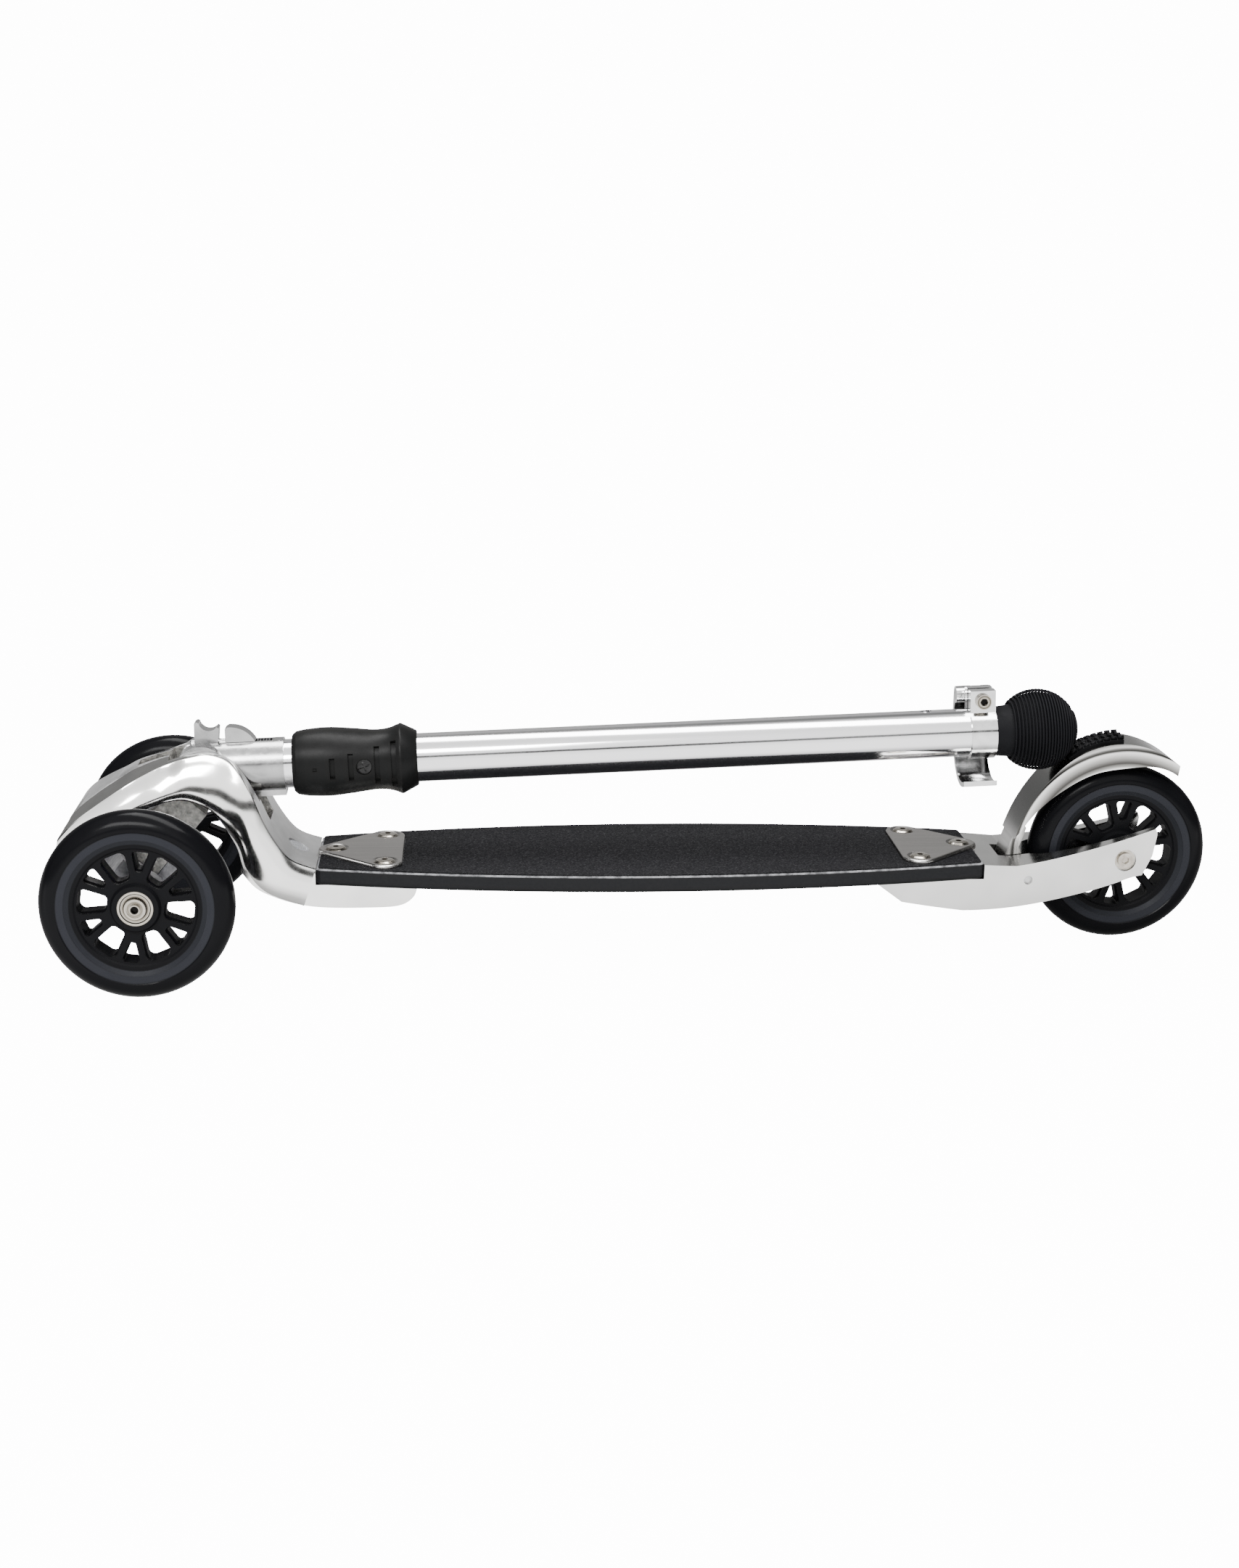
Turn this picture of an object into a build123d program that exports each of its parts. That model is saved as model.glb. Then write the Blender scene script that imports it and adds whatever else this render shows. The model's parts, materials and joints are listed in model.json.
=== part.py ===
"""A folding three-wheeled kick scooter for a child, steered by leaning, with a knob on a telescopic bar.

The origin is on the ground, midway between the front and rear axles. +X points to the rear, +Y to the
rider's right and +Z up. Sizes are millimetres. The bar is modelled folded down over the deck.
"""

import os
from math import cos, radians, sin

from build123d import *

os.makedirs("parts", exist_ok=True)

# ---- driving dimensions ----------------------------------------------------------------------------

WHEEL_R = 60
WHEEL_W = 24
WHEELBASE = 638
TRACK = 196
RIM_R = 43.5
WINDOWS = 6
BEARING_R = 11
BEARING_W = 7
AXLE_R = 4
HUB_W = 21.6

DECK_FRONT = -214
DECK_REAR = 221
DECK_HALF_WIDTHS = (38.5, 62.7, 40)
BOARD_BOTTOM = 52.4
BOARD_TOP = 63.2
TAPE_T = 0.8
PLATE_T = 3.2
SCREW_R = 3
SCREW_TOP = 67.4

PIVOT = (-287, 0, 121.7)
BAR_SLOPE = 2.31
BAR_R = 15.9
BAR_WALL = 1.8
STUB_R = 17.5
STUB_LENGTH = 52.7
SLEEVE_START = 58.2
SLEEVE_END = 138.7
COLLAR_START = 501.9
COLLAR_END = 518.6
KNOB_CENTRE = 547.9
KNOB_R = 27
EXTENSION = 250

STEER_CENTRE = (-319, 0, 74)
STEER_TILT = 40
PIN_GAP = 0.05

X_FRONT = -WHEELBASE / 2
X_REAR = WHEELBASE / 2

# ---- planes and axes that several pieces share -----------------------------------------------------

bar_x = Vector(cos(radians(BAR_SLOPE)), 0, sin(radians(BAR_SLOPE)))
bar_up = Vector(-sin(radians(BAR_SLOPE)), 0, cos(radians(BAR_SLOPE)))
bar_side = Plane(origin=PIVOT, x_dir=bar_x, z_dir=(0, -1, 0))
bar_axis = Axis(PIVOT, bar_x)

steer_x = Vector(-cos(radians(STEER_TILT)), 0, sin(radians(STEER_TILT)))
steer_down = Vector(-sin(radians(STEER_TILT)), 0, -cos(radians(STEER_TILT)))
steer_side = Plane(origin=STEER_CENTRE, x_dir=steer_x, z_dir=(0, -1, 0))


def save(piece, name):
    """Label a finished piece and write it as its own STEP file."""
    piece.part.label = name
    export_step(piece.part, f"parts/{name}.step")


def across_bar(distance):
    """The plane square to the bar, at a distance from the fold pivot; its y is up from the bar."""
    return Plane(origin=Vector(*PIVOT) + bar_x * distance, x_dir=(0, 1, 0), z_dir=bar_x)


def over_bar(height):
    """The plane parallel to the bar's top, at a height over its axis; its x runs along the bar."""
    return Plane(origin=Vector(*PIVOT) + bar_up * height, x_dir=bar_x, z_dir=bar_up)


def below_steer(depth):
    """The plane square to the steering rubbers' bolt, at a depth below the steering pin."""
    return Plane(origin=Vector(*STEER_CENTRE) + steer_down * depth, x_dir=(0, 1, 0), z_dir=steer_down)


def along_pin(distance):
    """The plane square to the steering pin, at a distance forward of its middle."""
    return Plane(origin=Vector(*STEER_CENTRE) + steer_x * distance, x_dir=(0, 1, 0), z_dir=steer_x)


def side_at(y):
    """The upright plane along the scooter at a given y, facing the rider's left."""
    return Plane.XZ.offset(-y)


# ---- wheels: a soft tyre on a windowed core, two ball bearings and the spacer between them ---------

wheel_places = {
    "left": (X_FRONT, -TRACK / 2, -7),
    "right": (X_FRONT, TRACK / 2, 23),
    "rear": (X_REAR, 0, -4),
}
half_w = WHEEL_W / 2
half_hub = HUB_W / 2
bearing_inner = half_hub - BEARING_W

for place, (wheel_x, wheel_y, turn) in wheel_places.items():
    centre = (wheel_x, wheel_y, WHEEL_R)
    section = Plane(origin=centre, x_dir=(0, 1, 0), z_dir=(1, 0, 0))
    face = Plane(origin=centre, x_dir=(1, 0, 0), z_dir=(0, -1, 0))
    axle = Axis(centre, (0, 1, 0))

    with BuildPart() as tyre:
        with BuildSketch(section):
            with BuildLine():
                ThreePointArc((-half_w, 48.8), (0, WHEEL_R), (half_w, 48.8))
                Polyline((half_w, 48.8), (11.5, 48.2), (11.2, RIM_R + 0.02), (-11.2, RIM_R + 0.02),
                         (-11.5, 48.2), (-half_w, 48.8))
            make_face()
        revolve(axis=axle)
    save(tyre, f"{place}_tyre")

    with BuildPart() as core:
        with BuildSketch(section):
            with BuildLine():
                Polyline((-11, RIM_R), (11, RIM_R), (9.2, 40.8), (9, 38), (8, 37), (8, 15.6),
                         (half_hub, 14.2), (half_hub, 8), (-half_hub, 8), (-half_hub, 14.2),
                         (-8, 15.6), (-8, 37), (-9, 38), (-9.2, 40.8), close=True)
            make_face()
        revolve(axis=axle)
        for grow, depth in ((0, WHEEL_W), (0.9, 4)):
            for side in (1, -1):
                with BuildSketch(face.offset(side * half_w)) as wide_windows:
                    with PolarLocations(0, WINDOWS, start_angle=turn):
                        Polygon((18 - grow, -4.2 - grow), (35.6, -8 - grow), (35.6, 8 + grow),
                                (18 - grow, 4.2 + grow), align=None)
                    fillet(wide_windows.vertices(), radius=3 + grow)
                extrude(amount=-side * (half_w - 8 + depth), mode=Mode.SUBTRACT)
                with BuildSketch(face.offset(side * half_w)) as narrow_windows:
                    with PolarLocations(0, WINDOWS, start_angle=turn + 180 / WINDOWS):
                        Polygon((23.5 - grow, -1.2 - grow), (35.6, -5 - grow), (35.6, 5 + grow),
                                (23.5 - grow, 1.2 + grow), align=None)
                    fillet(narrow_windows.vertices(), radius=1.1 + grow)
                extrude(amount=-side * (half_w - 8 + depth), mode=Mode.SUBTRACT)
        for side in (1, -1):
            with BuildSketch(face.offset(side * half_hub)):
                Circle(BEARING_R + 0.01)
            extrude(amount=-side * BEARING_W, mode=Mode.SUBTRACT)
    save(core, f"{place}_core")

    with BuildPart() as bearings:
        with BuildSketch(section):
            for side in (1, -1):
                with BuildLine():
                    near = side * bearing_inner
                    far = side * half_hub
                    dish = side * 0.5
                    Polyline((near, AXLE_R + PIN_GAP), (near, 6), (near + dish, 6.2), (near + dish, 9.4),
                             (near, 9.6), (near, BEARING_R), (far, BEARING_R), (far, 9.6),
                             (far - dish, 9.4), (far - dish, 6.2), (far, 6), (far, AXLE_R + PIN_GAP),
                             close=True)
                make_face()
        revolve(axis=axle)
    save(bearings, f"{place}_bearings")

    with BuildPart() as spacer:
        with BuildSketch(face):
            Circle(6)
            Circle(AXLE_R + PIN_GAP, mode=Mode.SUBTRACT)
        extrude(amount=bearing_inner, both=True)
    save(spacer, f"{place}_spacer")

# ---- deck: board, grip tape, two pressed guard plates and their screws ------------------------------

front_half, middle_half, rear_half = DECK_HALF_WIDTHS
plate_screws = {
    "front": [(-203, 0), (-170, 31), (-170, -31)],
    "rear": [(212, 0), (180, 31), (180, -31)],
}


def deck_outline(inset):
    """The barrel-shaped plan of the deck, drawn a little inside its edge."""
    with BuildSketch(Plane.XY, mode=Mode.PRIVATE) as outline:
        with BuildLine():
            ThreePointArc((DECK_FRONT, -front_half), (0, -middle_half), (DECK_REAR, -rear_half))
            Line((DECK_REAR, -rear_half), (DECK_REAR, rear_half))
            ThreePointArc((DECK_REAR, rear_half), (0, middle_half), (DECK_FRONT, front_half))
            Line((DECK_FRONT, front_half), (DECK_FRONT, -front_half))
        make_face()
        fillet(outline.vertices(), radius=4)
        offset(amount=-inset)
    return outline.sketch


def plate_outline(end, grow=0):
    """The plan of one guard plate: a triangle with well-rounded corners."""
    with BuildSketch(Plane.XY, mode=Mode.PRIVATE) as outline:
        with Locations(*plate_screws[end]):
            Circle(11.5 + grow)
        make_hull()
    return outline.sketch


with BuildPart() as board:
    with BuildSketch(Plane.XY.offset(BOARD_BOTTOM)):
        add(deck_outline(0))
    extrude(amount=BOARD_TOP - BOARD_BOTTOM)
    chamfer(board.faces().sort_by(Axis.Z)[-1].edges(), length=0.8)
    fillet(board.faces().sort_by(Axis.Z)[0].edges(), radius=2.5)
    for places in plate_screws.values():
        with Locations(*[(x, y, BOARD_TOP) for x, y in places]):
            Hole(SCREW_R)
save(board, "deck_board")

with BuildPart() as tape:
    with BuildSketch(Plane.XY.offset(BOARD_TOP)):
        add(deck_outline(1.6))
        for end in plate_screws:
            add(plate_outline(end, grow=0.3), mode=Mode.SUBTRACT)
    extrude(amount=TAPE_T)
save(tape, "grip_tape")

for end, places in plate_screws.items():
    with BuildPart() as plate:
        with BuildSketch(Plane.XY.offset(BOARD_TOP)):
            add(plate_outline(end))
        extrude(amount=PLATE_T)
        fillet(plate.faces().sort_by(Axis.Z)[-1].edges(), radius=1.6)
        with Locations(*[(x, y, BOARD_TOP + PLATE_T) for x, y in places]):
            CounterSinkHole(SCREW_R, 8.6, counter_sink_angle=130)
    save(plate, f"{end}_guard_plate")

shank = SCREW_R - 0.03

with BuildPart() as deck_screws:
    for places in plate_screws.values():
        for x, y in places:
            with BuildSketch(Plane.XZ.offset(-y)):
                with BuildLine():
                    Polyline((x, BOARD_BOTTOM - 9), (x + shank, BOARD_BOTTOM - 9), (x + shank, 63.9),
                             (x + 6.6, 65.5), (x + 6.6, 66.2), (x + 5.6, 67), (x + 3.4, SCREW_TOP),
                             (x, SCREW_TOP), close=True)
                make_face()
            revolve(axis=Axis((x, y, 0), (0, 0, 1)))
            with BuildSketch(Plane.XY.offset(SCREW_TOP)):
                with Locations((x, y)):
                    RegularPolygon(2.1, 6)
            extrude(amount=-2.4, mode=Mode.SUBTRACT)
save(deck_screws, "deck_screws")

# ---- neck: one arched casting that carries the fold hinge, the steering pin and the deck's front ----

# each station crosses the arch: a point on its crown, the point on its lower edge, and the half widths there
neck_stations = [
    ((-379, 84), (-380, 78), 68, 70),
    ((-365, 98), (-364, 85), 55, 60),
    ((-351, 109), (-346, 94), 45, 52),
    ((-338, 117), (-334, 99), 37, 46),
    ((-327, 123.5), (-322, 103), 32, 41),
    ((-310, 129.5), (-310, 107), 24, 37),
    ((-293, 133.5), (-298, 108), 21, 36),
    ((-279, 134.5), (-286, 105), 20.5, 36),
    ((-267, 129), (-276, 97), 24, 36),
    ((-254, 110), (-264.4, 78), 34, 37),
    ((-244, 87.5), (-258.8, 60.8), 36.5, 37.5),
    ((-231, 69.5), (-246, 47), 37.5, 38),
    ((-216, 62.6), (-222, 38.5), 38, 38.5),
]
NECK_WALL = 5
TROUGH_HALF = 18
TROUGH_R = 20.5


def neck_arch(stations, wall):
    """An arch lofted through the stations; a wall draws its inside, open below the lower edge."""
    with BuildPart(mode=Mode.PRIVATE) as arch:
        for crown, lower, crown_half, lower_half in stations:
            down = Vector(lower[0] - crown[0], 0, lower[1] - crown[1])
            reach = down.length + (4 if wall else 0)
            plane = Plane(origin=(crown[0], 0, crown[1]), x_dir=(0, 1, 0),
                          z_dir=Vector(0, 1, 0).cross(down.normalized()))
            with BuildSketch(plane):
                Polygon((-lower_half + wall, reach), (-crown_half + wall, wall), (crown_half - wall, wall),
                        (lower_half - wall, reach), align=None)
        loft(ruled=True)
    return arch.part


neck_outside = neck_arch(neck_stations, 0)
neck_inside = neck_arch(neck_stations[:-2], NECK_WALL)

with BuildPart() as neck_middle:
    with BuildSketch(Plane.XZ):
        Polygon((-333, 140), (-333, 106), (-318, 103), (-304, 97), (-284, 82), (-283, 68), (-258, 68),
                (-240, 80), (-236, 140), align=None)
    extrude(amount=TROUGH_HALF + 4.5, both=True)
    add(neck_outside, mode=Mode.INTERSECT)

with BuildPart() as neck:
    add(neck_outside)
    add(neck_inside, mode=Mode.SUBTRACT)
    add(neck_middle.part)
    # the foot that runs under the deck
    with BuildSketch(Plane.XZ):
        Polygon((-240, 50), (-228, 40), (-211, 36.6), (-162, 36.6), (-149, 47.5), (-149, BOARD_BOTTOM - 0.05),
                (DECK_FRONT - 0.3, BOARD_BOTTOM - 0.05), (DECK_FRONT - 0.3, 60), (-232, 60), align=None)
    extrude(amount=37.5, both=True)
    # the lug that holds the steering pin
    with BuildSketch(steer_side):
        Polygon((-14, -36), (14, -36), (14, 16), (-14, 16), align=None)
    extrude(amount=11.4, both=True)
    # everything that would stand in front of the deck's end is cleared
    with BuildSketch(Plane.XZ):
        Polygon((DECK_FRONT - 0.3, BOARD_BOTTOM - 0.05), (DECK_FRONT + 90, BOARD_BOTTOM - 0.05),
                (DECK_FRONT + 90, 90), (DECK_FRONT - 0.3, 90), align=None)
    extrude(amount=60, both=True, mode=Mode.SUBTRACT)
    # the trough that the folding knuckle turns in
    with BuildSketch(bar_side):
        Circle(TROUGH_R)
        with Locations((45, 10.4)):
            Rectangle(90, 61.2)
    extrude(amount=TROUGH_HALF, both=True, mode=Mode.SUBTRACT)
    with BuildSketch(bar_side):
        with Locations((0, 14)):
            Rectangle(2 * TROUGH_R, 28)
    extrude(amount=TROUGH_HALF, both=True, mode=Mode.SUBTRACT)
    # the hollow ahead of it, where the socket's saddle lug goes when the bar stands up
    with BuildSketch(Plane.XZ):
        Polygon((-300, 116), (-324, 112), (-328, 118), (-330, 140), (-300, 140), align=None)
    extrude(amount=7, both=True, mode=Mode.SUBTRACT)
    # the pocket in the rear face
    with BuildSketch(side_at(0)):
        Polygon((-262, 100), (-254, 84), (-236, 93), (-243, 112), align=None)
    extrude(amount=12, both=True, mode=Mode.SUBTRACT)
    # the swallow-tailed nose
    with BuildSketch(Plane.XY):
        with BuildLine():
            ThreePointArc((-379, -72), (-366, 0), (-379, 72))
            Polyline((-379, 72), (-379, 90), (-420, 90), (-420, -90), (-379, -90), (-379, -72))
        make_face()
    extrude(amount=200, mode=Mode.SUBTRACT)
    # bores: fold pin, steering pin, the bolt of the steering rubbers, deck screws, badge recess
    with BuildSketch(side_at(60)):
        with Locations((PIVOT[0], PIVOT[2])):
            Circle(AXLE_R + 0.02)
    extrude(amount=85, mode=Mode.SUBTRACT)
    with BuildSketch(along_pin(-14)):
        Circle(5.02)
    extrude(amount=28, mode=Mode.SUBTRACT)
    with BuildSketch(below_steer(16)):
        Circle(4.02)
    extrude(amount=-9, mode=Mode.SUBTRACT)
    with Locations(*[(x, y, BOARD_BOTTOM) for x, y in plate_screws["front"]]):
        Hole(SCREW_R + 0.02, depth=9.5)
    with Locations(Plane(origin=(-227.5, 0, 68.4), z_dir=(0.5, 0, 0.866))):
        Hole(7.6, depth=1.2)
save(neck, "neck_casting")

with BuildPart() as badge:
    with BuildSketch(Plane(origin=(-227.5, 0, 68.4), z_dir=(0.5, 0, 0.866)).offset(-1.2)):
        Circle(7.4)
    extrude(amount=0.9)
    fillet(badge.edges().filter_by(GeomType.CIRCLE).group_by(Axis.Z)[-1], radius=0.4)
save(badge, "neck_badge")

# ---- lean steering: truck, pin, rubbers and their bolt, stub axles ---------------------------------

EAR = 14.4
TRUCK_END = 85.6

with BuildPart() as truck:
    with BuildSketch(steer_side):
        with BuildLine():
            Polyline((-24, 34), (-24, 0), (-EAR, 0), (-EAR, 26), (EAR, 26), (EAR, 0), (24, 0), (24, 34),
                     close=True)
        make_face()
    extrude(amount=13, both=True)
    for start, length in ((EAR, 24 - EAR), (-24, 24 - EAR)):
        with BuildSketch(along_pin(start)):
            Circle(13)
        extrude(amount=length)
    for side in (-1, 1):
        with BuildSketch(steer_side.offset(side * 12)):
            Polygon((-20, 16), (20, 16), (20, 34), (-20, 34), align=None)
        with BuildSketch(steer_side.offset(side * 72)):
            Polygon((-11, 2), (13, 2), (13, 20), (-11, 20), align=None)
        loft(ruled=True)
        with BuildSketch(Plane(origin=(X_FRONT, -side * 62, WHEEL_R), z_dir=(0, -side, 0))):
            Circle(11)
        extrude(amount=TRUCK_END - 62)
        with BuildSketch(Plane(origin=(X_FRONT, -side * TRUCK_END, WHEEL_R), z_dir=(0, -side, 0))):
            Circle(6)
        extrude(amount=1.2)
        with BuildSketch(Plane(origin=(X_FRONT, -side * 40, WHEEL_R), z_dir=(0, -side, 0))):
            Circle(AXLE_R + 0.02)
        extrude(amount=60, mode=Mode.SUBTRACT)
    # room for the neck's lug and the upper rubber when the truck leans
    with BuildSketch(steer_side):
        with Locations((0, 13)):
            Rectangle(2 * EAR, 26)
    extrude(amount=17.5, both=True, mode=Mode.SUBTRACT)
    with BuildSketch(along_pin(-30)):
        Circle(5 + PIN_GAP)
    extrude(amount=60, mode=Mode.SUBTRACT)
    with BuildSketch(below_steer(20)):
        Circle(10.4)
    extrude(amount=20, mode=Mode.SUBTRACT)
save(truck, "truck_beam")

with BuildPart() as steer_pin:
    with BuildSketch(along_pin(-28)):
        Circle(5)
    extrude(amount=53)
    with BuildSketch(along_pin(24.3)):
        Circle(8)
    extrude(amount=4.5)
    fillet(steer_pin.faces().sort_by(Axis(STEER_CENTRE, steer_x))[-1].edges(), radius=1.2)
save(steer_pin, "steering_pin")

with BuildPart() as steer_nut:
    with BuildSketch(along_pin(-31)):
        RegularPolygon(8.2, 6)
        Circle(5.02, mode=Mode.SUBTRACT)
    extrude(amount=6.6)
save(steer_nut, "steering_pin_nut")

with BuildPart() as rubber_bolt:
    with BuildSketch(below_steer(7.2)):
        Circle(4)
    extrude(amount=44)
save(rubber_bolt, "rubber_bolt")

for name, start, length, radius in (("upper_rubber", 16.1, 7, 12.5), ("lower_rubber", 36.1, 5.4, 12.5)):
    with BuildPart() as rubber:
        with BuildSketch(below_steer(start)):
            Circle(radius)
            Circle(4.1, mode=Mode.SUBTRACT)
        extrude(amount=length)
        chamfer(rubber.edges().filter_by(GeomType.CIRCLE).group_by(SortBy.RADIUS)[-1], length=1)
    save(rubber, name)

with BuildPart() as rubber_nut:
    with BuildSketch(below_steer(41.6)):
        Circle(11)
        Circle(4.02, mode=Mode.SUBTRACT)
    extrude(amount=1.4)
    with BuildSketch(below_steer(43)):
        RegularPolygon(7.4, 6)
        Circle(4.02, mode=Mode.SUBTRACT)
    extrude(amount=6)
save(rubber_nut, "rubber_nut")

with BuildPart() as stub_axles:
    for side in (-1, 1):
        with BuildSketch(Plane(origin=(X_FRONT, side * 45, WHEEL_R), z_dir=(0, side, 0))):
            Circle(AXLE_R)
        extrude(amount=TRACK / 2 + half_hub + 0.3 - 45)
        with BuildSketch(Plane(origin=(X_FRONT, side * 90, WHEEL_R), z_dir=(0, side, 0))):
            Circle(2)
        extrude(amount=30, mode=Mode.SUBTRACT)
save(stub_axles, "front_axles")

with BuildPart() as axle_washers:
    for side in (-1, 1):
        outer = TRACK / 2 + half_hub + 0.3
        with BuildSketch(Plane(origin=(X_FRONT, side * outer, WHEEL_R), z_dir=(0, side, 0))):
            Circle(6.6)
            Circle(2.1, mode=Mode.SUBTRACT)
        extrude(amount=1.3)
        with BuildSketch(Plane(origin=(X_FRONT, side * (outer + 0.5), WHEEL_R), z_dir=(0, side, 0))):
            Circle(5.2)
        extrude(amount=2, taper=-8, mode=Mode.SUBTRACT)
        with BuildSketch(Plane(origin=(X_FRONT, side * outer, WHEEL_R), z_dir=(0, side, 0))):
            Circle(3.4)
            Circle(2.1, mode=Mode.SUBTRACT)
        extrude(amount=0.6)
save(axle_washers, "front_axle_washers")

with BuildPart() as axle_screws:
    for side in (-1, 1):
        head = TRACK / 2 + half_hub + 0.9
        with BuildSketch(Plane(origin=(X_FRONT, side * (head - 14), WHEEL_R), z_dir=(0, side, 0))):
            Circle(1.98)
        extrude(amount=14)
        with BuildSketch(Plane(origin=(X_FRONT, side * head, WHEEL_R), z_dir=(0, side, 0))):
            Circle(3.3)
        extrude(amount=2)
        with BuildSketch(Plane(origin=(X_FRONT, side * (head + 2), WHEEL_R), z_dir=(0, side, 0))):
            RegularPolygon(1.9, 6)
        extrude(amount=-1.4, mode=Mode.SUBTRACT)
save(axle_screws, "front_axle_screws")

# ---- rear holder: the forked casting under the deck's end, with its axle ----------------------------

ARM_IN = 18.4
HOLDER_TOP = 61.8

with BuildPart() as holder:
    with BuildSketch(Plane.XZ):
        with BuildLine():
            Polyline((151, 48), (151, BOARD_BOTTOM - 0.05), (DECK_REAR + 0.3, BOARD_BOTTOM - 0.05),
                     (DECK_REAR + 0.3, HOLDER_TOP), (243, 60.4))
            ThreePointArc((243, 60.4), (288, 67.2), (338.7, 81))
            Polyline((338.7, 81), (340, 77.4), (337.5, 62.6), (331, 49.4))
            Spline([(331, 49.4), (315, 45.3), (275, 36.4), (208, 31)], tangents=[(-1, -0.1), (-1, 0)])
            Polyline((208, 31), (168, 36), (151, 48))
        make_face()
    extrude(amount=44, both=True)
    with BuildSketch(Plane.XY) as plan:
        with BuildLine():
            near_side = Spline([(150, -31), (222, -39.5), (252, -36.5), (285, -30.5), (319, -26), (342, -24)])
            far_side = mirror(near_side, about=Plane.XZ)
            Line(near_side @ 0, far_side @ 0)
            Line(near_side @ 1, far_side @ 1)
        make_face()
    extrude(amount=120, mode=Mode.INTERSECT)
    # the wheel's slot between the arms
    with BuildSketch(Plane.XY):
        with Locations((319, 0)):
            SlotOverall(136, 2 * ARM_IN)
        with Locations((350, 0)):
            Rectangle(80, 2 * ARM_IN)
    extrude(amount=120, mode=Mode.SUBTRACT)
    # the slot in the flat top that the brake's foot drops into, open to the wheel
    with BuildSketch(Plane.XY.offset(40)):
        with Locations((249, 0)):
            Rectangle(26, 27)
    extrude(amount=40, mode=Mode.SUBTRACT)
    with BuildSketch(side_at(60)):
        with Locations((251.5, 50.3)):
            Circle(3.02)
        with Locations((X_REAR, WHEEL_R)):
            Circle(AXLE_R + 0.02)
    extrude(amount=120, mode=Mode.SUBTRACT)
    for side in (-1, 1):
        with BuildSketch(Plane(origin=(X_REAR, side * 40, WHEEL_R), z_dir=(0, side, 0))):
            Circle(7.4)
        extrude(amount=-17, mode=Mode.SUBTRACT)
    with Locations(*[(x, y, BOARD_BOTTOM) for x, y in plate_screws["rear"]]):
        Hole(SCREW_R + 0.02, depth=9.5)
save(holder, "rear_holder")

with BuildPart() as rear_axle:
    with BuildSketch(side_at(0)):
        with Locations((X_REAR, WHEEL_R)):
            Circle(AXLE_R)
    extrude(amount=25.5, both=True)
    for side in (-1, 1):
        with BuildSketch(Plane(origin=(X_REAR, side * 23.1, WHEEL_R), z_dir=(0, side, 0))):
            Circle(6.9)
        extrude(amount=0.8)
        with BuildSketch(Plane(origin=(X_REAR, side * 23.9, WHEEL_R), z_dir=(0, side, 0))):
            Circle(4.9)
        extrude(amount=2.2)
        with BuildSketch(Plane(origin=(X_REAR, side * 26.1, WHEEL_R), z_dir=(0, side, 0))):
            RegularPolygon(2.6, 6)
        extrude(amount=-1.6, mode=Mode.SUBTRACT)
save(rear_axle, "rear_axle_bolt")

with BuildPart() as rear_collars:
    for side in (-1, 1):
        with BuildSketch(Plane(origin=(X_REAR, side * (half_hub + 0.3), WHEEL_R), z_dir=(0, side, 0))):
            Circle(6)
            Circle(AXLE_R + 0.02, mode=Mode.SUBTRACT)
        extrude(amount=ARM_IN - half_hub - 0.32)
save(rear_collars, "rear_axle_collars")

# ---- fender brake: pressed channel on a pin, studded pad, torsion spring ---------------------------

FENDER_PIN = (251.5, 50.3)
FENDER_HALF = 17
fender_crown = [(245.4, 73), (256, 97), (269, 114.5), (287, 129.5), (317, 137), (338, 132), (354.5, 122)]
fender_skirt = [(250, 78), (262, 93.5), (278, 106.6), (299, 117.4), (318, 120.6), (336, 121.4), (353.5, 115)]

with BuildPart() as fender:
    with BuildSketch(Plane.XZ):
        with BuildLine():
            crown_line = Spline(fender_crown)
            skirt_line = Spline(fender_skirt)
            Line(crown_line @ 0, skirt_line @ 0)
            Line(crown_line @ 1, skirt_line @ 1)
        make_face()
    extrude(amount=FENDER_HALF, both=True)
    with BuildSketch(Plane.XZ):
        with BuildLine():
            under_line = Spline([(x + 1.6 if x < 280 else x, z - 3.2) for x, z in fender_crown[1:]])
            Polyline(under_line @ 1, (362, 100), (300, 80), (252, 86), under_line @ 0)
        make_face()
    extrude(amount=FENDER_HALF - 3, both=True, mode=Mode.SUBTRACT)
    with BuildSketch(Plane.XZ):
        Polygon((239.6, 57), (245.4, 73), (252, 84), (254.5, 79), (250, 66), (255, 55), (254, 46), (249, 46),
                align=None)
    extrude(amount=12.5, both=True)
    with BuildSketch(side_at(30)):
        with Locations(FENDER_PIN):
            Circle(3 + PIN_GAP)
    extrude(amount=60, mode=Mode.SUBTRACT)
    with BuildSketch(side_at(5.5)):
        with Locations(FENDER_PIN):
            Circle(8)
    extrude(amount=11, mode=Mode.SUBTRACT)
save(fender, "fender_brake")

with BuildPart() as pad:
    with BuildSketch(Plane.XZ):
        with BuildLine():
            pad_low = Spline([(281, 125.6), (287, 129.5), (301, 134.9), (317, 137)])
            pad_high = Spline([(280.6, 126.3), (286.2, 130.7), (300.6, 136.6), (317, 138.8)])
            Line(pad_low @ 0, pad_high @ 0)
            Line(pad_low @ 1, pad_high @ 1)
        make_face()
    extrude(amount=11.5, both=True)
    add(fender.part, mode=Mode.SUBTRACT)
save(pad, "fender_pad")

with BuildPart() as fender_pin:
    with BuildSketch(side_at(0)):
        with Locations(FENDER_PIN):
            Circle(3)
    extrude(amount=34, both=True)
save(fender_pin, "fender_pin")

with BuildPart() as fender_spring:
    with BuildLine():
        coil = Helix(pitch=2.1, height=8.4, radius=4.9, center=(FENDER_PIN[0], -4.2, FENDER_PIN[1]),
                     direction=(0, 1, 0))
    with BuildSketch(Plane(origin=coil @ 0, z_dir=coil % 0)):
        Circle(0.7)
    sweep(is_frenet=True)
save(fender_spring, "fender_spring")

# ---- fold hinge: the socket that the bar stands in, its pin and bushes -----------------------------

LATCH_HEIGHT = 15.5
FLAT_HEIGHT = 16.6

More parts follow.
